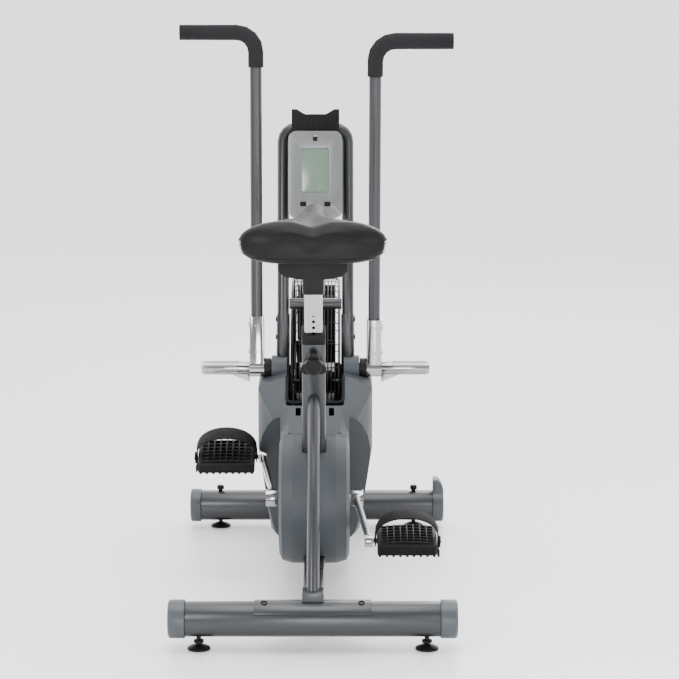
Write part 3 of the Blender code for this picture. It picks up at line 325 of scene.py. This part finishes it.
# Small black mouldings: feet, bushing, knob, saddle pan, pedals, pulley, console
# housing with its buttons and reading rack, in black nylon with a fine grain.
nylon = Finish("black_nylon", (0.015, 0.015, 0.016), 0.5, specular=0.16)
nylon_cloud = nylon.noise(20, 3)
nylon.set("Base Color", nylon.blend(nylon_cloud, (0.004, 0.004, 0.0045), (0.009, 0.009, 0.0095)))
nylon.set("Roughness", 0.40 + 0.20 * nylon.noise(40, 3))
nylon.relief(nylon.noise(1600, 2), 0.00008)
for moulding in ("foot_rear_left", "foot_rear_right", "foot_front_left", "foot_front_right",
                 "post_bushing", "pop_pin", "saddle_pan", "pedal_left", "pedal_right",
                 "crank_pulley", "console_housing", "button_left", "button_right", "reading_rack"):
    dressed(moulding, nylon, 0.0006)

# Rubber: the toe straps and the drive belt, moulded and matt.
rubber = Finish("moulded_rubber", (0.018, 0.018, 0.019), 0.75, specular=0.14)
bloom = rubber.noise(30, 3)
rubber.set("Base Color", rubber.blend(bloom, (0.005, 0.005, 0.0055), (0.011, 0.011, 0.0115)))
rubber.set("Roughness", 0.60 + 0.25 * rubber.noise(60, 3))
rubber.relief(rubber.noise(900, 3), 0.0001)
for strip in ("pedal_strap_left", "pedal_strap_right", "drive_belt"):
    dressed(strip, rubber, 0.0006)

# Grips: closed-cell foam sleeves pushed onto the arms.
foam = Finish("closed_cell_foam", (0.030, 0.030, 0.033), 0.9, specular=0.12)
pores = foam.cells(900)
pore_walls = foam.ramp(pores, 0.1, 0.6)
foam.set("Base Color", foam.blend(pore_walls, (0.007, 0.007, 0.008), (0.020, 0.020, 0.022)))
foam.set("Roughness", 0.80 + 0.15 * foam.noise(40, 3))
foam.relief(pores + 0.5 * foam.noise(300, 3), 0.00035)
for sleeve in ("grip_left", "grip_right"):
    dressed(sleeve, foam, dissolve=0)

# Chrome: seat post, cranks, arm brackets and foot pegs, steel that was
# polished and plated, with the faint haze of handling.
chrome = Finish("bright_chrome", (0.70, 0.70, 0.71), 0.1, metallic=1.0)
haze = chrome.noise(22, 4)
chrome.set("Roughness", 0.05 + 0.13 * haze)
chrome.set("Base Color", chrome.blend(haze, (0.34, 0.34, 0.35), (0.44, 0.44, 0.45)))
chrome.relief(chrome.noise(240, 2), 0.00002)
for plated in ("seat_post", "crank_left", "crank_right", "arm_bracket_left", "arm_bracket_right",
               "foot_peg_left", "foot_peg_right"):
    dressed(plated, chrome, 0.0008, 3)

# Black steel: saddle clamp, fan and link rods, dipped in gloss black. The fan's
# cage, made further down, has the same finish.
black_steel = Finish("black_dipped_steel", (0.020, 0.020, 0.022), 0.35,
                     metallic=0.7, coat=0.15, specular=0.25)
dip_cloud = black_steel.noise(30, 3)
black_steel.set(
    "Base Color", black_steel.blend(dip_cloud, (0.005, 0.005, 0.006), (0.012, 0.012, 0.013)))
black_steel.set("Roughness", 0.28 + 0.2 * black_steel.noise(80, 3))
black_steel.relief(black_steel.noise(400, 2), 0.00005)
for steel in ("saddle_clamp", "fan_wheel", "link_rod_left", "link_rod_right"):
    dressed(steel, black_steel, 0.0004)

# Turned aluminium: crank spindle with its eccentrics, and the fan's pulley,
# left as they came from the lathe.
turned_alloy = Finish("turned_aluminium", (0.40, 0.40, 0.42), 0.3, metallic=1.0)
turned_alloy.set("Roughness", 0.25 + 0.15 * turned_alloy.noise(200, 2))
turned_alloy.relief(turned_alloy.noise(900, 1), 0.00003)
for turned_piece in ("spindle", "fan_pulley"):
    dressed(turned_piece, turned_alloy, 0.0004)

# Console face: silver-painted plastic in front of the black housing, with a
# grey-green display behind a clear window.
silver = Finish("silver_face_paint", (0.45, 0.46, 0.48), 0.32, metallic=0.6, coat=0.4)
silver_flake = silver.noise(2400, 1)
silver.set("Base Color", silver.blend(silver_flake, (0.19, 0.195, 0.20), (0.27, 0.275, 0.28)))
silver.set("Roughness", 0.26 + 0.12 * silver.noise(50, 2))
dressed("console_face", silver, 0.0010, 3)
display = Finish("grey_green_display", (0.27, 0.37, 0.29), 0.25, coat=0.8)
tint = display.noise(18, 2)
display.set("Base Color", display.blend(tint, (0.10, 0.155, 0.115), (0.145, 0.205, 0.155)))
display.set("Roughness", 0.18 + 0.1 * tint)
dressed("console_window", display, 0.0004)

# Drum: the round back of the casing over the crank's pulley, with a chamfered
# band down each side that ends in a sharp crease.
crank_y, crank_z = -0.175, 0.230
drum_radius = 0.148
half_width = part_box("drum_cover_right")[1].x - 0.0006
outline = [
    (0.0485, drum_radius + 0.0006),
    (half_width - 0.0066, drum_radius - 0.0062),
    (half_width + 0.0002, drum_radius - 0.0196),
    (half_width - 0.0010, drum_radius - 0.0200),
    (0.0480, drum_radius - 0.0010),
]
points = [(x, 0, r) for x, r in outline] + [(-x, 0, r) for x, r in reversed(outline)]
band_mesh = bpy.data.meshes.new("drum_band")
count = len(points)
band_mesh.from_pydata(points, [(k, (k + 1) % count) for k in range(count)], [])
band = added("drum_band", band_mesh)
use(band, "SCREW", axis="X", steps=128, render_steps=128, use_merge_vertices=True,
    merge_threshold=0.00001)
alone(band)
bpy.ops.object.mode_set(mode="EDIT")
bpy.ops.mesh.select_all(action="SELECT")
bpy.ops.mesh.remove_doubles(threshold=0.00001)
bpy.ops.mesh.normals_make_consistent(inside=False)
bpy.ops.object.mode_set(mode="OBJECT")
band.location = (0, crank_y, crank_z)
bpy.ops.object.transform_apply(location=True)
seat_tube_slot = ((0.054, 0.052, 0.40), (0, -0.2317, 0.367), 17)
beam_slot = ((0.048, 0.6, 0.12), (0, crank_y, 0.0590), 0)
open_front = ((0.30, 0.30, 0.30), (0, 0.012, 0.300), 0)
for size, place, lean in (seat_tube_slot, beam_slot, open_front):
    bpy.ops.mesh.primitive_cube_add(size=1, location=place, rotation=(math.radians(lean), 0, 0))
    slot_tool = bpy.context.object
    slot_tool.scale = size
    bpy.ops.object.transform_apply(location=True, rotation=True, scale=True)
    use(band, "BOOLEAN", object=slot_tool, operation="DIFFERENCE", solver="EXACT")
    bpy.data.objects.remove(slot_tool)
smoothed(band, 12)
fixed(band, "drum_band", "frame", casing_grain)

# Saddle: moulded foam under stretched black vinyl, wide at the back with two
# lobes and a channel between them, and a grey panel sewn into each side.
around, along = 40, 28
nose_half = 0.034


def saddle_ring(t, low, high, half):
    """Points round the saddle's section, t of the way from its back to its nose."""
    wide = 0.5 * (1 + math.cos(math.pi * min(1, max(0, (t - 0.16) / 0.60))))
    reach = nose_half + (half - nose_half) * wide
    reach *= math.sqrt(max(0.05, 1 - (max(0, 0.12 - t) / 0.15) ** 2))
    reach *= math.sqrt(max(0.05, 1 - (max(0, t - 0.90) / 0.11) ** 2))
    crown = high - 0.013 * math.sin(math.pi * t) - 0.30 * max(0, 0.08 - t)
    under = low + 0.07 * max(0, t - 0.80)
    lobe = 0.016 * (1 - t) ** 1.5
    points = []
    tall = crown - under
    for k in range(around):
        turn = math.tau * k / around
        across, up = math.cos(turn), math.sin(turn)
        if up < 0:
            x = reach * math.copysign(abs(across) ** 0.42, across) * (1 - 0.08 * abs(up))
            z = under + tall * (0.46 - 0.46 * abs(up) ** 0.55)
        else:
            x = reach * math.copysign(abs(across) ** 0.72, across)
            z = under + tall * (0.46 + 0.54 * up ** 0.80)
            z -= lobe * math.exp(-((x / 0.028) ** 2)) * up
        points.append((x, z))
    return points


low_corner, high_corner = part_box("saddle")
length = high_corner.y - low_corner.y
pad = bmesh.new()
rows = []
for step in range(along + 1):
    t = step / along
    y = low_corner.y + 0.003 + (length - 0.006) * (t - 0.006 * math.sin(math.tau * t))
    ring = saddle_ring(t, low_corner.z + 0.002, high_corner.z - 0.003, high_corner.x - 0.002)
    rows.append([pad.verts.new((x, y, z)) for x, z in ring])
for first, second in zip(rows, rows[1:]):
    for k in range(around):
        m = (k + 1) % around
        pad.faces.new((first[k], first[m], second[m], second[k]))
pad.faces.new(rows[0][::-1])
pad.faces.new(rows[-1])
bmesh.ops.recalc_face_normals(pad, faces=pad.faces)
saddle_mesh = bpy.data.meshes.new("saddle_cover")
pad.to_mesh(saddle_mesh)
pad.free()
saddle = added("saddle_cover", saddle_mesh)
most_swelling, moments = 0.0015, 20
use(saddle, "REMESH", mode="VOXEL", voxel_size=0.0045)
before = [v.co.copy() for v in saddle.data.vertices]
alone(saddle)
cloth = saddle.modifiers.new("cloth", "CLOTH")
cloth.settings.quality = 5
cloth.settings.use_pressure = True
cloth.settings.uniform_pressure_force = 4
cloth.settings.effector_weights.gravity = 0
cloth.point_cache.frame_start = 1
cloth.point_cache.frame_end = moments
for moment in range(1, moments + 1):
    bpy.context.scene.frame_set(moment)
bpy.ops.object.modifier_apply(modifier=cloth.name)
bpy.context.scene.frame_set(1)
for vertex, old in zip(saddle.data.vertices, before):
    shift = vertex.co - old
    if shift.length > most_swelling:
        vertex.co = old + shift * (most_swelling / shift.length)
    vertex.co.z = max(vertex.co.z, low_corner.z)
use(saddle, "SMOOTH", factor=0.5, iterations=14)
use(saddle, "SUBSURF", levels=1, render_levels=1)
alone(saddle)
bpy.ops.object.shade_smooth()

vinyl = Finish("black_grained_vinyl", (0.012, 0.012, 0.013), 0.4, specular=0.14)
pebble = vinyl.cells(850)
pebble_tops = vinyl.ramp(pebble, 0.1, 0.7)
vinyl.set("Base Color", vinyl.blend(pebble_tops, (0.0035, 0.0035, 0.004), (0.008, 0.008, 0.0085)))
vinyl.set("Roughness", 0.30 + 0.16 * vinyl.noise(30, 3) + 0.10 * pebble)
vinyl.relief(pebble + 0.4 * vinyl.noise(120, 3), 0.00006)
panel_vinyl = Finish("grey_side_vinyl", (0.30, 0.31, 0.33), 0.45, coat=0.1)
weave = panel_vinyl.cells(700)
weave_tops = panel_vinyl.ramp(weave, 0.1, 0.7)
panel_vinyl.set(
    "Base Color", panel_vinyl.blend(weave_tops, (0.30, 0.31, 0.33), (0.42, 0.43, 0.45)))
panel_vinyl.set("Roughness", 0.40 + 0.15 * panel_vinyl.noise(30, 3))
panel_vinyl.relief(weave, 0.0002)
fixed(saddle, "saddle_cover", "seat", vinyl)
saddle.data.materials.append(panel_vinyl.material)


panel_start, panel_end = 0.10, 0.93


def seam_height(y, above):
    """Height of the side panel's seam along the saddle: its upper or its lower edge."""
    t = max(0.0, (y - low_corner.y) / length)
    return low_corner.z + (0.049 if above else 0.022) + 0.026 * t ** 1.5


for face in saddle.data.polygons:
    centre, normal = face.center, face.normal
    t = (centre.y - low_corner.y) / length
    if seam_height(centre.y, False) < centre.z < seam_height(centre.y, True):
        if abs(normal.x) > 0.30 and panel_start < t < panel_end:
            face.material_index = 1
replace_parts(saddle, "saddle")


# Side seams: a thin cord of the same vinyl as the cover, sewn in along the
# upper and the lower edge of each side panel.
def seam_points(side, above, steps=59):
    """Points on the cover along one edge of a side panel, from the back to the nose."""
    found = []
    for step in range(steps + 1):
        y = low_corner.y + length * (panel_start + 0.83 * step / steps)
        start = Vector((side * 0.3, y, seam_height(y, above)))
        hit, spot, normal, _ = saddle.ray_cast(start, Vector((-side, 0, 0)))
        if hit:
            found.append(spot + normal * 0.0003)
    return found


def strands(name, lines, thick, body, finish, cyclic=False, sides=2):
    """Round strands of one thickness, each through its own points, as one mesh."""
    curve = bpy.data.curves.new(name, "CURVE")
    curve.dimensions = "3D"
    curve.bevel_depth = thick
    curve.bevel_resolution = sides
    curve.use_fill_caps = not cyclic
    for points in lines:
        spline = curve.splines.new("POLY")
        spline.points.add(len(points) - 1)
        for point, spot in zip(spline.points, points):
            point.co = (*spot, 1)
        spline.use_cyclic_u = cyclic
    alone(added(name, curve))
    bpy.ops.object.convert(target="MESH")
    strand = bpy.context.object
    bpy.ops.object.shade_smooth()
    return fixed(strand, name, body, finish)


for side, word in ((-1, "left"), (1, "right")):
    for above, level in ((True, "upper"), (False, "lower")):
        line = seam_points(side, above)
        strands(f"saddle_seam_{level}_{word}", [line], 0.0011, "seat", vinyl)

# Rear panel: the back of the saddle is a separate black piece, sewn on along
# a crease that bows between the two sides.
for level, height in (("upper", 0.047), ("lower", 0.013)):
    line = []
    for step in range(61):
        x = 0.150 * (step / 30 - 1)
        bow = 0.006 * math.cos(x * 14) if level == "upper" else 0
        start = Vector((x, low_corner.y - 0.2, low_corner.z + height + bow))
        hit, spot, normal, _ = saddle.ray_cast(start, Vector((0, 1, 0)))
        if hit and spot.y < low_corner.y + 0.16:
            line.append(spot + normal * 0.0002)
    strands(f"saddle_crease_{level}", [line], 0.0010, "seat", vinyl)


# Fan cage: round wire rings, hooped over the rim and laid flat down both
# sides, welded to radial wires and dipped in black.
def wire_ring(radius, x, sides=72):
    """Points round the fan's axis at this radius, x to the side."""
    turns = [math.tau * k / sides for k in range(sides)]
    return [
        (x, fan_centre.y + radius * math.cos(turn), fan_centre.z + radius * math.sin(turn))
        for turn in turns
    ]


cage_low, cage_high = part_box("fan_cage_left")[0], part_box("fan_cage_right")[1]
fan_centre = (cage_low + cage_high) / 2
cage_radius = (cage_high.z - cage_low.z) / 2
wire = 0.0014
rim, hub = cage_radius - 2.4 * wire, 0.050
face_x = cage_high.x - wire
for side, word in ((-1, "left"), (1, "right")):
    hoops, spokes = [], []
    for k in range(7):
        hoops.append(wire_ring(cage_radius - wire, side * (0.004 + 0.0084 * k)))
    for k in range(22):
        hoops.append(wire_ring(cage_radius - 0.009 - 0.0092 * k, side * face_x))
    strands(f"fan_cage_hoops_{word}", hoops, wire, "frame", black_steel, True, 1)
    inside = Vector((side * (face_x - 0.003), 0, 0))
    for k in range(28):
        turn = math.tau * (k + 0.5) / 28
        outward = Vector((0, math.cos(turn), math.sin(turn)))
        knee = fan_centre + outward * rim
        spokes.append([
            Vector((side * 0.0015, knee.y, knee.z)),
            Vector((side * (face_x - 0.010), knee.y, knee.z)),
            fan_centre + outward * (rim - 0.006) + inside,
            fan_centre + outward * hub + inside,
        ])
    mesh = strands(f"fan_cage_spokes_{word}", spokes, wire, "frame", black_steel,
                   sides=1)
    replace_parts(mesh, f"fan_cage_{word}")


# Notch trim: a soft black bead pushed over the casing's edge, down one side
# of the fan's opening, across the bottom and up the other.
def round_corners(corners, radius, steps=6):
    """The path with each of its inner corners turned into an arc."""
    path = [corners[0]]
    for before, corner, after in zip(corners, corners[1:], corners[2:]):
        into, out = (corner - before).normalized(), (after - corner).normalized()
        for k in range(steps + 1):
            u = k / steps
            start, end = corner - into * radius, corner + out * radius
            path.append(start * (1 - u) ** 2 + corner * 2 * u * (1 - u) + end * u * u)
    return path + [corners[-1]]


trim_low, trim_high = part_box("fan_trim")
edge_x, notch_y, notch_z = trim_high.x - 0.001, trim_low.y - 0.001, trim_low.z + 0.002
corners = [Vector(p) for p in (
    (-edge_x, trim_high.y, trim_high.z - 0.003), (-edge_x, notch_y + 0.004, notch_z + 0.004),
    (edge_x, notch_y + 0.004, notch_z + 0.004), (edge_x, trim_high.y, trim_high.z - 0.003))]
bead = round_corners(corners, 0.016)
trim = strands("notch_trim", [bead], 0.0036, "frame", rubber, sides=3)
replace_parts(trim, "fan_trim")


# Fasteners: plated or blacked button heads, cap heads and hex nuts; the round
# heads have a socket in them.
def fastener(name, spot, way, radius, height, body, finish, sides=24, socket=True):
    """A head that stands on a face at spot, pointing along way, with a socket in it."""
    bpy.ops.mesh.primitive_cylinder_add(
        vertices=sides, radius=radius, depth=height, location=(0, 0, height / 2))
    head = bpy.context.object
    bpy.ops.object.mode_set(mode="EDIT")
    bpy.ops.mesh.select_mode(type="FACE")
    if socket:
        choose(lambda c, n: n.z > 0.9)
        bpy.ops.mesh.inset(thickness=radius * 0.45)
        bpy.ops.transform.translate(value=(0, 0, -height * 0.45))
        bpy.ops.mesh.extrude_region_move(TRANSFORM_OT_translate={"value": (0, 0, -height * 0.3)})
    bpy.ops.object.mode_set(mode="OBJECT")
    use(head, "BEVEL", width=min(radius, height) * 0.22, segments=3, limit_method="ANGLE")
    smoothed(head, 40)
    head.rotation_euler = Vector(way).to_track_quat("Z", "Y").to_euler()
    head.location = Vector(spot)
    return fixed(head, name, body, finish)


pivot_y, pivot_z = 0.095, 0.479
mast_lean = math.radians(12)
plate_lean = math.radians(72)
bolt_rises = (0.103, 0.040)
tube_low, tube_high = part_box("stabilizer_rear")
rear_axis = (tube_low + tube_high) / 2
plate_radius = rear_axis.z - tube_low.z + 0.0033
for side, word in ((-1, "left"), (1, "right")):
    way = Vector((0, -math.cos(plate_lean), math.sin(plate_lean)))
    spot = rear_axis + way * plate_radius + Vector((side * 0.104, 0, 0))
    fastener(f"rear_plate_bolt_{word}", spot, way, 0.0070, 0.0040, "frame", nylon)
    for k, height in enumerate((0.592, 0.551)):
        y = pivot_y + (height - pivot_z) * math.tan(mast_lean)
        fastener(f"upright_bolt_{word}_{k + 1}", Vector((side * 0.0922, y, height)), (side, 0, 0),
                 0.0062, 0.0050, "frame", nylon)
    arm = f"arm_{word}"
    tilt = math.radians(3 if side < 0 else -9)
    back = Vector((0, -math.cos(tilt), math.sin(tilt)))
    for k, rise in enumerate(bolt_rises):
        y, z = pivot_y + rise * math.sin(tilt), pivot_z + rise * math.cos(tilt)
        fastener(f"bracket_bolt_{word}_{k + 1}", Vector((side * 0.1560, y, z)), (side, 0, 0),
                 0.0062, 0.0060, arm, chrome, 6, False)
    for k, rise in enumerate(bolt_rises):
        y, z = pivot_y + rise * math.sin(tilt), pivot_z + rise * math.cos(tilt)
        spot = Vector((side * 0.1385, y, z)) + back * 0.0172
        fastener(f"bracket_screw_{word}_{k + 1}", spot, back, 0.0042, 0.0022,
                 arm, chrome)

# Pivot covers: round black plastic caps pushed over the swing arms' inner ends,
# each with a shallow step in its face.
for side, word in ((-1, "left"), (1, "right")):
    bpy.ops.mesh.primitive_cylinder_add(vertices=40, radius=0.0231, depth=0.0170)
    collar = bpy.context.object
    bpy.ops.object.mode_set(mode="EDIT")
    choose(lambda c, n: n.z > 0.9)
    bpy.ops.mesh.inset(thickness=0.0035)
    bpy.ops.transform.translate(value=(0, 0, 0.0012))
    bpy.ops.object.mode_set(mode="OBJECT")
    use(collar, "BEVEL", width=0.0014, segments=3, limit_method="ANGLE")
    smoothed(collar, 40)
    collar.rotation_euler = (0, math.radians(90) * side, 0)
    collar.location = (side * 0.1130, pivot_y, pivot_z)
    fixed(collar, f"pivot_cover_{word}", f"arm_{word}", nylon)

# Foot peg dots: the chrome tubes are pressed with rows of small raised dots,
# which the sole grips.
dot_rows, dot_pitch = 16, 0.0068
dot_ring = 0.0147
for side, word in ((-1, "left"), (1, "right")):
    low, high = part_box(f"foot_peg_{word}")
    middle = Vector((0, (low.y + high.y) / 2, high.z - 0.015))
    bpy.ops.mesh.primitive_uv_sphere_add(segments=8, ring_count=5, radius=0.0021)
    dot = bpy.context.object
    shape = bmesh.new()
    for k in range(dot_rows):
        turn = math.tau * k / dot_rows
        for column in range(12):
            x = side * (0.184 + dot_pitch * column + (dot_pitch / 2 if k % 2 else 0))
            spot = middle + Vector((x, dot_ring * math.cos(turn), dot_ring * math.sin(turn)))
            shape.from_mesh(dot.data)
            shape.verts.ensure_lookup_table()
            bmesh.ops.translate(shape, verts=shape.verts[-len(dot.data.vertices):], vec=spot)
    shape.to_mesh(dot.data)
    shape.free()
    alone(dot)
    bpy.ops.object.shade_smooth()
    fixed(dot, f"foot_peg_dots_{word}", f"arm_{word}", chrome)

# Drum screws: a black socket screw in each half of the drum, high on its
# rider's side.
for side, word in ((-1, "left"), (1, "right")):
    spot = Vector((side * 0.058, crank_y - 0.060, crank_z + 0.1290))
    way = Vector((0, -0.42, 0.91))
    fastener(f"drum_screw_{word}", spot, way, 0.0060, 0.0030, "frame", nylon)

# Console emblem: a plain raised disc in a ring, and the display's dark
# figures in seven-bar outlines.
console_up, console_out = 0.465, 0.0488
outward = Vector((0, -math.cos(mast_lean), math.sin(mast_lean)))
upward = Vector((0, math.sin(mast_lean), math.cos(mast_lean)))


def on_face(x, up, off=0.0):
    """A point on the console's face, x across it and up from the window's middle."""
    base = Vector((0, pivot_y, pivot_z)) + upward * (console_up + up)
    return base + outward * (console_out + off) + Vector((x, 0, 0))


fastener("emblem_rim", on_face(0, 0.0750, 0.0002), outward, 0.0078, 0.0016,
         "frame", chrome, 40)
fastener("emblem_disc", on_face(0, 0.0750, 0.0004), outward, 0.0058, 0.0018,
         "frame", nylon, 40, False)
ink = Finish("display_ink", (0.03, 0.05, 0.035), 0.3, coat=0.5)
ink.set("Roughness", 0.25 + 0.1 * ink.noise(60, 2))
bars = bmesh.new()


def bar(x, up, wide, tall):
    """A thin block on the display, wide and tall being half its size."""
    corners = [(x + a * wide, up + b * tall) for a, b in ((-1, -1), (1, -1), (1, 1), (-1, 1))]
    front = [bars.verts.new(on_face(a, b, -0.0012)) for a, b in corners]
    back = [bars.verts.new(on_face(a, b, -0.0016)) for a, b in corners]
    bars.faces.new(front)
    bars.faces.new(back[::-1])
    for k in range(4):
        m = (k + 1) % 4
        bars.faces.new((front[m], front[k], back[k], back[m]))


for row in range(4):
    up = 0.035 - 0.0225 * row
    bar(0, up - 0.0115, 0.028, 0.00025)
    for digit in range(4):
        x = -0.0195 + 0.013 * digit
        for level in (-1, 0, 1):
            bar(x, up + level * 0.0058, 0.0028, 0.0005)
        for across in (-1, 1):
            for level in (-1, 1):
                bar(x + across * 0.0038, up + level * 0.0029, 0.0005, 0.0021)
figures = bpy.data.meshes.new("display_figures")
bmesh.ops.recalc_face_normals(bars, faces=bars.faces)
bars.to_mesh(figures)
bars.free()
fixed(added("display_figures", figures), "display_figures", "frame", ink)


# Pedals: moulded platforms with a domed grid of ribs on top, teeth along the
# back, and a strap over the toes held by a buckle on the outer side.
def bars_at(name, blocks, placing, body, finish, edge=0.0006):
    """Small moulded blocks, each (middle, size), as one mesh in a tilted frame."""
    shape = bmesh.new()
    for middle, size in blocks:
        made = bmesh.ops.create_cube(shape, size=1)["verts"]
        bmesh.ops.scale(shape, verts=made, vec=size)
        bmesh.ops.translate(shape, verts=made, vec=middle)
    mesh = bpy.data.meshes.new(name)
    shape.to_mesh(mesh)
    shape.free()
    piece = added(name, mesh)
    use(piece, "BEVEL", width=edge, segments=2, limit_method="ANGLE")
    smoothed(piece, 40)
    piece.matrix_world = placing
    return fixed(piece, name, body, finish)


rib_pitch, dome_half = 0.0145, 0.066
eyes = {-1: (-0.01525, 0.28814, 22), 1: (-0.33475, 0.17186, 12)}
for side, word in ((-1, "left"), (1, "right")):
    eye_y, eye_z, tilt = eyes[side]
    turned = Matrix.Rotation(math.radians(tilt), 4, "X")
    placing = Matrix.Translation((side * 0.207, eye_y, eye_z)) @ turned
    blocks = []
    for column in range(9):
        x = rib_pitch * (column - 4)
        rise = 0.006 * (1 - (x / dome_half) ** 2)
        blocks.append(((x, 0.0, 0.0130 + rise / 2), (0.0030, 0.086, 0.0030 + rise)))
    for row in range(7):
        y = 0.0135 * (row - 3)
        for column in range(8):
            x = rib_pitch * (column - 3.5)
            rise = 0.005 * (1 - (x / dome_half) ** 2)
            blocks.append(((x, y, 0.0128 + rise / 2), (0.0118, 0.0026, 0.0022 + rise)))
    blocks += [((0.0075 * (k - 8), -0.0476, -0.001), (0.0040, 0.0022, 0.0200)) for k in range(17)]
    blocks += [((0.0150 * (k - 4), -0.0455, -0.0138), (0.0060, 0.0060, 0.0040)) for k in range(9)]
    blocks += [((0, -0.0478, 0.0105), (0.128, 0.0026, 0.0040)),
               ((0, -0.0478, -0.0105), (0.128, 0.0026, 0.0030))]
    bars_at(f"pedal_tread_{word}", blocks, placing, f"pedal_{word}", nylon)
    outer = side * 0.0685
    blocks = [((outer + side * 0.0030, -0.002, -0.004), (0.0060, 0.024, 0.0120)),
              ((outer + side * 0.0052, -0.002, 0.004), (0.0040, 0.030, 0.0050)),
              ((outer + side * 0.0030, -0.014, -0.024), (0.0030, 0.010, 0.0160))]
    bars_at(f"strap_buckle_{word}", blocks, placing, f"pedal_{word}", rubber, 0.0012)
    slits = [
        ((side * 0.0702, 0.004, 0.012 + 0.0065 * k), (0.0008, 0.0042, 0.0030)) for k in range(5)]
    bars_at(f"strap_slots_{word}", slits, placing, f"pedal_{word}", nylon, 0.0002)

# Reading rack: the moulded black ledge has upright ribs on the rider's side,
# of the same plastic.
rack_up = 0.585
rack_place = Matrix.Translation((0, pivot_y, pivot_z)) @ Matrix.Rotation(-mast_lean, 4, "X")
blocks = [
    ((0.0085 * (k - 6), -0.0298, rack_up - 0.002), (0.0022, 0.0020, 0.036)) for k in range(13)]
bars_at("reading_rack_ribs", blocks, rack_place, "frame", nylon)

# Beam bolts: two button heads through the base beam's top, just in front of
# the riser.
for side, word in ((-1, "left"), (1, "right")):
    spot = Vector((side * 0.0165, -0.375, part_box("base_beam")[1].z))
    fastener(f"beam_bolt_{word}", spot, (0, 0, 1), 0.0045, 0.0030, "frame", nylon)
